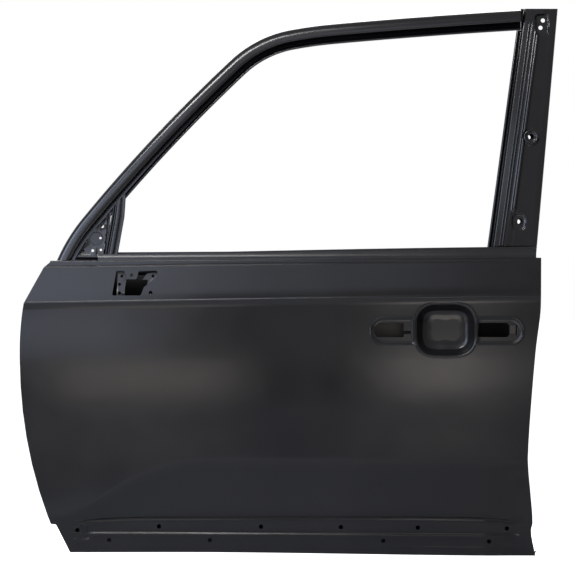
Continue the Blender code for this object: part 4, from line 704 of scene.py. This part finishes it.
def formed_profile(name, stations, line, place, thickness):
    """A strip rolled to a section and carried along its stations, thickness centred on the line."""
    left, right = [], []
    for k, here in enumerate(line):
        ahead = (line[min(k + 1, len(line) - 1)] - line[max(k - 1, 0)]).normalized()
        aside = Vector((-ahead.y, ahead.x)) * thickness / 2
        left.append(here + aside)
        right.append(here - aside)
    loop = right + left[::-1] + right[:1]
    strip = pressed_sheet(name, stations, loop, place)
    bpy.ops.object.mode_set(mode="EDIT")
    bpy.ops.mesh.select_all(action="SELECT")
    bpy.ops.mesh.remove_doubles(threshold=0.000001)
    bpy.ops.mesh.select_all(action="DESELECT")
    bpy.ops.mesh.select_mode(type="EDGE")
    bpy.ops.mesh.select_non_manifold()
    bpy.ops.mesh.fill(use_beauty=True)
    bpy.ops.mesh.select_all(action="SELECT")
    bpy.ops.mesh.normals_make_consistent(inside=False)
    bpy.ops.object.mode_set(mode="OBJECT")
    smooth(strip, 75)
    return strip


stations = list(range(len(sash_stations)))
sash = formed_profile("windscreen_pillar_and_header", stations, soft_line(sash_section, 0.0022), sash_point, SASH_T)
frame_finish = electrocoat("electrocoat_on_window_frame", "#050506", "#080809", 0.22, 120, 0.04, 0.20, 0.0)
sash.data.materials.clear()
sash.data.materials.append(frame_finish)
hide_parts("front_sash")
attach(sash, "root")

# Rear sash. The real piece is a stamping that closes the frame at the middle pillar: a glass channel along the
# window, flats, two small beads, one bright rounded ridge, and three embossed seats for seal clips and trim.
POST_LOW_Z = 0.6130
POST_TOP_RISE = 0.0026
POST_TOP_Z = header_end_z + POST_TOP_RISE
TRIM_HOLE_RADIUS = 0.0060
FOOT_HOLE_RADIUS = 0.0058
TOP_HOLE_RADIUS = 0.0044
latch_z = mix(FRAME_BELT_Z, POST_TOP_Z, 0.4720)
LATCH_BOSS = Vector((outer_edge_x(latch_z) - 0.0336, latch_z))
FOOT_RECESS = Vector((outer_edge_x(0.7025) - 0.0435, 0.7025))
TOP_RECESS = Vector((outer_edge_x(POST_TOP_Z - 0.0335) - 0.0309, POST_TOP_Z - 0.0335))
# (distance from the window edge, depth), then (distance from the outer edge, depth)
window_profile = [
    (0.0, 0.0170), (0.0015, 0.0145), (0.0040, 0.0145), (0.0055, 0.0170), (0.0062, 0.0240), (0.0115, 0.0240),
    (0.0122, 0.0070), (0.0137, 0.0055), (0.0250, 0.0055), (0.0262, 0.0038), (0.0274, 0.0055), (0.0308, 0.0055),
    (0.0320, 0.0038), (0.0334, 0.0055), (0.0400, 0.0055), (0.0430, 0.0000), (0.0470, 0.0000), (0.0500, 0.0060),
]
outer_profile = [(0.0150, 0.0075), (0.0030, 0.0085), (0.0006, 0.0110), (0.0, 0.0240)]
WIDE = 1.0  # stands for the post's own width, which grows towards the foot
post_line = soft_line(window_profile + [(WIDE - inset, depth) for inset, depth in outer_profile], 0.0022, 3)
long_run = max(range(len(post_line) - 1), key=lambda k: post_line[k + 1].x - post_line[k].x)
run_start, run_end = post_line[long_run].x, post_line[long_run + 1].x
between = [post_line[long_run].lerp(post_line[long_run + 1], k / 18) for k in range(1, 18)]
post_line[long_run + 1 : long_run + 1] = between
post_rows = [mix(POST_LOW_Z, POST_TOP_Z, k / 300) for k in range(301)]


def post_point(p, z):
    wide = outer_edge_x(z) - window_edge_x(z)
    if p.x <= run_start:
        across = p.x
    elif p.x >= run_end:
        across = wide - (WIDE - p.x)
    else:
        across = mix(run_start, wide - (WIDE - run_end), (p.x - run_start) / (run_end - run_start))
    x = window_edge_x(z) + across
    depth = p.y
    # The bright ridge fades out above the foot recess.
    if 0.0395 < across < 0.051:
        depth = mix(depth, mix(0.0055, 0.0062, (across - 0.0395) / 0.0115), 1 - ease(0.722, 0.734, z))
    boss = math.hypot(x - LATCH_BOSS.x, z - LATCH_BOSS.y)
    depth = mix(depth, 0.0042, 1 - ease(0.0165, 0.0185, boss)) if across > 0.03 else depth
    depth -= 0.0030 * ease(0.0095, 0.0120, boss) * (1 - ease(0.0142, 0.0168, boss))
    foot = inset_of(x, z, FOOT_RECESS.x, FOOT_RECESS.y, 0.0150, 0.0175, 3)
    depth = mix(depth, 0.0100, ease(-0.0005, 0.0035, foot))
    crown = inset_of(x, z, TOP_RECESS.x, TOP_RECESS.y, 0.0140, 0.0225, 5)
    depth = mix(depth, 0.0105, ease(-0.0005, 0.0025, crown))
    # Above the corner the beads end and the header's face runs on over the post.
    if across > 0.0126:
        cap = ease(POST_TOP_Z - 0.0320, POST_TOP_Z - 0.0275, z) * ease(0.0126, 0.0150, across)
        depth = mix(depth, 0.0036, cap * (1 - ease(0.052, 0.058, across)) * (1 - ease(-0.0005, 0.0025, crown)))
    if across > 0.014:
        foot_step = (1 - ease(0.6480, 0.6520, z)) * ease(0.0140, 0.0160, across)
        depth = mix(depth, 0.0095, foot_step * (1 - ease(wide - 0.012, wide - 0.009, across)))
    return Vector((x, frame_y(z) + depth, z))


post = pressed_sheet("rear_post", post_line, post_rows, post_point)
back_face(post, SASH_T)
cut_x, cut_z = header_end_x + GAP, header_low_z - GAP
punch(
    post,
    [
        [(0.95, cut_z), (cut_x, cut_z), (cut_x, 1.3), (0.95, 1.3)],
        round_hole(LATCH_BOSS.x, LATCH_BOSS.y, TRIM_HOLE_RADIUS),
        round_hole(FOOT_RECESS.x + 0.0030, FOOT_RECESS.y + 0.0010, FOOT_HOLE_RADIUS),
        round_hole(TOP_RECESS.x + 0.0020, TOP_RECESS.y + 0.0085, TOP_HOLE_RADIUS),
        round_hole(TOP_RECESS.x - 0.0032, TOP_RECESS.y - 0.0070, TOP_HOLE_RADIUS),
    ],
)
smooth(post, 40)
post.data.materials.clear()
post.data.materials.append(frame_finish)
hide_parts("rear_sash")
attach(post, "root")

# Division bar. The real piece is a rolled channel that guides the sliding glass behind the mirror corner, its foot
# running on down inside the door and its head let into the windscreen pillar.
BAR_WIDTH = 0.0280
BAR_BELT_X = 0.1787
BAR_HEAD_X = 0.1955
BAR_HEAD_RISE = 0.095
bar_section = [
    (0.0006, 0.0100), (0.0008, 0.0018), (0.0022, 0.0004), (0.0038, 0.0014), (0.0048, 0.0080), (0.0090, 0.0080),
    (0.0098, 0.0032), (0.0110, 0.0024), (0.0170, 0.0024), (0.0184, 0.0040), (0.0184, 0.0095),
    (BAR_WIDTH - 0.0012, 0.0095), (BAR_WIDTH - 0.0006, 0.0070),
]


def bar_point(z, p):
    x = mix(BAR_BELT_X, BAR_HEAD_X, (z - FRAME_BELT_Z) / BAR_HEAD_RISE)
    slope = 1.12 * ease(0.71, 0.735, z)
    return Vector((x + p.x, frame_y(z) + 0.0060 + p.y + slope * frame_slope(z) * p.x, z + slope * p.x))


bar_heights = [0.29, 0.37, 0.45, 0.53, 0.60, 0.64, 0.67, 0.70] + [0.71 + 0.0025 * k for k in range(11)]
bar = formed_profile("division_channel", bar_heights, soft_line(bar_section, 0.0012, 3), bar_point, SASH_T)
bar.data.materials.clear()
bar.data.materials.append(frame_finish)
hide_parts("division_bar")
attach(bar, "root")

# Mirror corner plate. The real piece is a small triangular stamping with a ridge inside its edge, a large round pocket
# with a drawn collar for the mirror's cable, and screw seats, spot-welded in the corner of the window frame.
SAIL_FRONT = Vector((0.1120, 0.6215))
SAIL_REAR = Vector((0.1800, 0.6215))
SAIL_TOP = Vector((0.1920, 0.7260))
SAIL_HOLE = Vector((0.1604, 0.6680))
SAIL_HOLE_RADIUS = 0.0142
side = SAIL_TOP - SAIL_FRONT
outwards = Vector((-side.y, side.x)).normalized()
sail_corners = [SAIL_FRONT, SAIL_REAR, SAIL_TOP]
sail_corners += [SAIL_TOP - side * (k / 12) + outwards * 0.0055 * (1 - (k / 6 - 1) ** 2) for k in range(1, 12)]
sail_edge = []
for a, b in zip(sail_corners, sail_corners[1:] + sail_corners[:1]):
    count = max(1, round((b - a).length / 0.0022))
    sail_edge += [a.lerp(b, k / count) for k in range(count)]
sail_edge.append(sail_edge[0])
sail_rim = [SAIL_HOLE + SAIL_HOLE_RADIUS * (p - SAIL_HOLE).normalized() for p in sail_edge]
sail_form = ((0.0, 0.0), (0.08, 0.0), (0.17, 0.0022), (0.24, 0.0030), (0.31, 0.0028), (0.40, 0.0010), (0.50, 0.0004))
sail_form += ((0.80, 0.0004), (0.90, -0.0002), (0.97, -0.0018), (1.0, -0.0032))
# Below the collar the same line runs on as the pocket's wall and floor, as (share of the rim's radius, depth).
sail_form += ((-0.985, 0.0042), (-0.94, 0.0052), (-0.60, 0.0052), (-0.25, 0.0052))


def sail_point(k, form):
    share, rise = form
    if share < 0:
        p = SAIL_HOLE.lerp(sail_rim[k], -share)
        return Vector((p.x, frame_y(p.y) + 0.0100 + rise, p.y))
    room = min(1.0, ((sail_edge[k] - sail_rim[k]).length / 0.0140) ** 2)
    p = sail_edge[k].lerp(sail_rim[k], share)
    top_boss = 1 - ease(0.0060, 0.0090, math.hypot(p.x - 0.1730, p.y - 0.6935))
    low_boss = 1 - ease(0.0050, 0.0080, math.hypot(p.x - 0.1550, p.y - 0.6375))
    up = p.y - 0.35 * (p.x - 0.160)
    rib = max(1 - abs(up - rib_z) / 0.0022 for rib_z in (0.6870, 0.6925))
    # Behind the division bar the plate steps back and runs on as a flange.
    beyond = p.x - mix(0.1765, 0.1850, (p.y - 0.6300) / 0.0880)
    step = 0.0060 * ease(0.0, 0.0015, beyond)
    form = max(rise * room, 0.0024 * top_boss, 0.0020 * low_boss, 0.0012 * max(0.0, rib) * (share > 0.15))
    return Vector((p.x, frame_y(p.y) + 0.0100 + step - form * (1 - ease(0.0, 0.0015, beyond)), p.y))


sail = pressed_sheet("mirror_corner", list(range(len(sail_edge))), sail_form, sail_point)
bpy.ops.object.mode_set(mode="EDIT")
bpy.ops.mesh.select_all(action="SELECT")
bpy.ops.mesh.remove_doubles(threshold=0.00002)
bpy.ops.mesh.select_all(action="DESELECT")
bpy.ops.object.mode_set(mode="OBJECT")
for edge in sail.data.edges:
    middle = (sail.data.vertices[edge.vertices[0]].co + sail.data.vertices[edge.vertices[1]].co) / 2 - DOOR
    edge.select = math.hypot(middle.x - SAIL_HOLE.x, middle.z - SAIL_HOLE.y) < 0.26 * SAIL_HOLE_RADIUS
bpy.ops.object.mode_set(mode="EDIT")
bpy.ops.mesh.select_mode(type="EDGE")
bpy.ops.mesh.edge_face_add()
bpy.ops.object.mode_set(mode="OBJECT")
back_face(sail, SKIN_T)
sail_holes = [(0.1690, 0.6690, 0.0024), (0.1730, 0.6935, 0.0032), (0.1335, 0.6420, 0.0026)]
sail_holes += [(0.1530, 0.6425, 0.0028), (0.1700, 0.6440, 0.0026)]
punch(sail, [round_hole(x, z, radius, 20) for x, z, radius in sail_holes])
smooth(sail, 40)
sail.data.materials.clear()
sail.data.materials.append(frame_finish)
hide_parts("mirror_corner_plate")
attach(sail, "root")

# Inner panel and the reinforcements behind the skin. The real pieces are deep-drawn and folded steel, spot-welded and
# dipped with the rest, so they carry the same primer, duller on the thicker plates.
inner_finish = electrocoat("electrocoat_on_inner_panel", "#0a0a0b", "#0f0f10", 0.36, gloss=0.15)
plate_finish = electrocoat("electrocoat_on_reinforcement", "#080808", "#0d0d0d", 0.30, 60, 0.05, 0.16)
tube_finish = electrocoat("electrocoat_on_beam_tube", "#0f0f10", "#151516", 0.36, 200, 0.03)


def smooth_copy(node, finish, degrees=32):
    """The node's own form with its loose triangles joined, so that its bends shade as bends."""
    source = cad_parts[node]
    piece = bpy.data.objects.new(node + "_pressed", source.data.copy())
    piece.matrix_world = source.matrix_world
    bpy.context.scene.collection.objects.link(piece)
    bpy.ops.object.select_all(action="DESELECT")
    piece.select_set(True)
    bpy.context.view_layer.objects.active = piece
    bpy.ops.object.transform_apply(location=True, rotation=True, scale=True)
    bpy.ops.object.mode_set(mode="EDIT")
    bpy.ops.mesh.select_all(action="SELECT")
    bpy.ops.mesh.remove_doubles(threshold=0.00001)
    bpy.ops.object.mode_set(mode="OBJECT")
    smooth(piece, degrees)
    piece.data.materials.clear()
    piece.data.materials.append(finish)
    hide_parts(node)
    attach(piece, "root")
    return piece


panel = smooth_copy("inner_panel", inner_finish)
# Where the finely curved skin dips behind the panel's flange, the flange is divided and moves back with it.
FLANGE_REACH = 0.0040
FLANGE_PART = 0.012
SCALLOP_TOP_Z = 0.21


def behind_skin(p):
    return p.y - skin_y(p.x, p.z)


work = bmesh.new()
work.from_mesh(panel.data)
near = {v for v in work.verts if (v.co - DOOR).z < SCALLOP_TOP_Z and behind_skin(v.co - DOOR) < FLANGE_REACH}
long_edges = [e for e in work.edges if set(e.verts) <= near and e.calc_length() > FLANGE_PART]
bmesh.ops.subdivide_edges(work, edges=long_edges, cuts=5, use_grid_fill=True)
bmesh.ops.triangulate(work, faces=work.faces)
work.to_mesh(panel.data)
work.free()
for vertex in panel.data.vertices:
    p = vertex.co - DOOR
    behind = behind_skin(p) if p.z < BELT_FRONT_Z else 1.0
    if behind < FLANGE_REACH:
        seat = SKIN_T + 0.0009 if behind < SKIN_T + INNER_T else SKIN_T + 0.0018
        vertex.co.y += max(0.0, seat - behind)

# The rear sash's inner sheet is pierced behind two holes of the outer one, so that daylight shows through them.
rear_inner = smooth_copy("rear_sash_inner", inner_finish)
DAYLIGHT_HOLE_RADIUS = 0.0046
round_angles = [k / 3 for k in range(19)]
daylight_holes = [
    [(x + DAYLIGHT_HOLE_RADIUS * math.cos(a), z + DAYLIGHT_HOLE_RADIUS * math.sin(a)) for a in round_angles]
    for x, z in ((1.0710, 0.8816), (1.0485, 0.7037))
]
punch(rear_inner, daylight_holes)
smooth(rear_inner, 32)
for node in ("upper_impact_beam", "lower_impact_beam"):
    smooth_copy(node, tube_finish)

outer_belt = smooth_copy("outer_belt_reinforcement", plate_finish)
BELT_TAIL_X = 1.0860
BELT_TAIL_Z = 0.6262
punch(outer_belt, [[(BELT_TAIL_X, BELT_TAIL_Z), (1.2, BELT_TAIL_Z), (1.2, 0.7), (BELT_TAIL_X, 0.7)]])
mirror_plate = smooth_copy("mirror_reinforcement", plate_finish)
# The plate stops short of the cut-out's front edge, and is open beside its tab and where the mirror's foot plugs in.
front_gap = [(0.17955, 0.61845), (0.20769, 0.61845), (0.20517, 0.58065), (0.20265, 0.53445), (0.17955, 0.53445)]
tab_gap = [(0.25305, 0.61005), (0.28875, 0.61005), (0.28875, 0.59850), (0.26775, 0.59430)]
tab_gap += [(0.25725, 0.58065), (0.24570, 0.58065)]
foot_gap = [(0.22407, 0.58149), (0.26943, 0.58149), (0.26691, 0.56469), (0.25473, 0.54831)]
foot_gap += [(0.22071, 0.54831), (0.22113, 0.56259)]
for gap in (front_gap, tab_gap, foot_gap):
    punch(mirror_plate, [gap])
handle_plate = smooth_copy("handle_reinforcement", plate_finish)
punch(handle_plate, [rounded(front_leg, 0.003)])
inner_belt = smooth_copy("inner_belt_reinforcement", plate_finish)
for piece in (outer_belt, mirror_plate, handle_plate, inner_belt):
    smooth(piece, 32)
for name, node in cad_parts.items():
    if "pad" in name or node.hide_render:
        continue
    node.data.materials.clear()
    node.data.materials.append(plate_finish)

# Anti-flutter pads. The real ones are blobs of heat-expanded sealant between the beams and the skin, matt and porous.
sealant = bpy.data.materials.new("expanded_sealant")
sealant.use_nodes = True
sealant_shader = sealant.node_tree.nodes["Principled BSDF"]
sealant_shader.inputs["Base Color"].default_value = linear("#1b1b1b")
sealant_shader.inputs["Roughness"].default_value = 0.9
for name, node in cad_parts.items():
    if "pad" in name:
        node.data.materials.clear()
        node.data.materials.append(sealant)

# Floor and light. A pale floor and a white surround. Cool soft panels stand in front at the upper left, dimmer ones
# face the band and the skin, two warm cards face the lower panel, and one panel lights the cabin side.
bpy.ops.object.select_all(action="DESELECT")
bpy.ops.mesh.primitive_plane_add(size=400, location=(0.5, 0, frame_box[0][2] - 0.0005))
floor = bpy.context.object
floor.name = "studio_floor"
floor_finish = bpy.data.materials.new("matt_white_floor")
floor_finish.use_nodes = True
floor_shader = floor_finish.node_tree.nodes["Principled BSDF"]
floor_shader.inputs["Base Color"].default_value = linear("#f2f2f2")
floor_shader.inputs["Roughness"].default_value = 0.9
floor_tree = floor_finish.node_tree
floor_ray = add_node(floor_tree, "ShaderNodeLightPath")
glow = add_node(floor_tree, "ShaderNodeEmission", {}, {"Color": (1, 1, 1, 1), "Strength": 0.80})
none = add_node(floor_tree, "ShaderNodeEmission", {}, {"Color": (0, 0, 0, 1), "Strength": 0.0})
lift = add_node(floor_tree, "ShaderNodeMixShader", {}, {}, {"Fac": (floor_ray, "Is Camera Ray")})
floor_tree.links.new(none.outputs[0], lift.inputs[1])
floor_tree.links.new(glow.outputs[0], lift.inputs[2])
both = add_node(floor_tree, "ShaderNodeAddShader")
floor_tree.links.new(floor_shader.outputs[0], both.inputs[0])
floor_tree.links.new(lift.outputs[0], both.inputs[1])
floor_tree.links.new(both.outputs[0], floor_tree.nodes["Material Output"].inputs["Surface"])
floor.data.materials.append(floor_finish)

world = bpy.data.worlds.new("studio")
bpy.context.scene.world = world
world.use_nodes = True
tree = world.node_tree
plain = tree.nodes["Background"]
plain.inputs["Color"].default_value = linear("#e9ecf2")
plain.inputs["Strength"].default_value = 0.40
white = add_node(tree, "ShaderNodeBackground", {}, {"Color": (1, 1, 1, 1), "Strength": 1.0})
path = add_node(tree, "ShaderNodeLightPath")
seen = add_node(
    tree, "ShaderNodeMath", {"operation": "MAXIMUM"}, {}, {0: (path, "Is Camera Ray"), 1: (path, "Is Glossy Ray")}
)
seen = add_node(
    tree, "ShaderNodeMath", {"operation": "MAXIMUM"}, {}, {0: (seen, "Value"), 1: (path, "Is Transmission Ray")}
)
choose = add_node(tree, "ShaderNodeMixShader", {}, {}, {"Fac": (seen, "Value")})
tree.links.new(plain.outputs[0], choose.inputs[1])
tree.links.new(white.outputs[0], choose.inputs[2])
tree.links.new(choose.outputs[0], tree.nodes["World Output"].inputs["Surface"])


def panel_light(name, place, target, width, height, energy, colour):
    lamp = bpy.data.lights.new(name, "AREA")
    lamp.shape = "RECTANGLE"
    lamp.size = width
    lamp.size_y = height
    lamp.energy = energy
    lamp.color = linear(colour)[:3]
    holder = bpy.data.objects.new(name, lamp)
    holder.location = place
    holder.visible_camera = False
    holder.rotation_euler = (Vector(target) - Vector(place)).to_track_quat("-Z", "Y").to_euler()
    bpy.context.scene.collection.objects.link(holder)


panel_light("cool_panel_left", (-1.9, -2.2, 1.7), (0.1, 0, 0.3), 1.2, 2.0, 150, "#d4e0ff")
panel_light("band_panel_left", (-0.45, -2.3, 1.28), (-0.1, 0, 0.1), 1.3, 0.7, 24, "#dfe8ff")
panel_light("band_panel_middle", (0.55, -2.3, 1.33), (0.4, 0, 0.1), 0.8, 0.6, 4, "#e8eeff")
panel_light("strip_above", (-0.15, -1.3, 2.0), (-0.1, 0, 0.1), 1.1, 0.24, 75, "#ffffff")
panel_light("back_panel", (0.5, 3.0, 2.2), (0.4, 0, 0.1), 3.0, 1.6, 110, "#ffffff")
panel_light("window_left", (-0.18, -1.2, 0.27), (-0.08, 0, 0.19), 0.60, 0.40, 6.2, "#dbe5ff")
panel_light("card_right", (0.86, -1.2, -0.10), (0.86, 0, -0.10), 0.28, 0.30, 2.7, "#fff6ee")
panel_light("card_low_left", (0.12, -1.2, -0.13), (0.12, 0, -0.13), 0.44, 0.26, 2.3, "#fff4e8")

# Camera. The photograph looks straight at the outer side from far away, so its edges hardly converge.
CAMERA_DISTANCE = 24.0
CENTRE_X = 0.5628
CENTRE_Z = 0.5649
MM_PER_PIXEL = 2.1
PIXELS = 575
eye = bpy.data.cameras.new("street_side_view")
eye.sensor_width = 36
eye.lens = 36 * CAMERA_DISTANCE / (PIXELS * MM_PER_PIXEL / 1000)
eye.clip_end = 200
camera = bpy.data.objects.new("street_side_view", eye)
camera.location = DOOR + Vector((CENTRE_X, -CAMERA_DISTANCE, CENTRE_Z))
camera.rotation_euler = (math.pi / 2, 0, 0)
bpy.context.scene.collection.objects.link(camera)
bpy.context.scene.camera = camera
bpy.context.scene.view_settings.view_transform = "Standard"
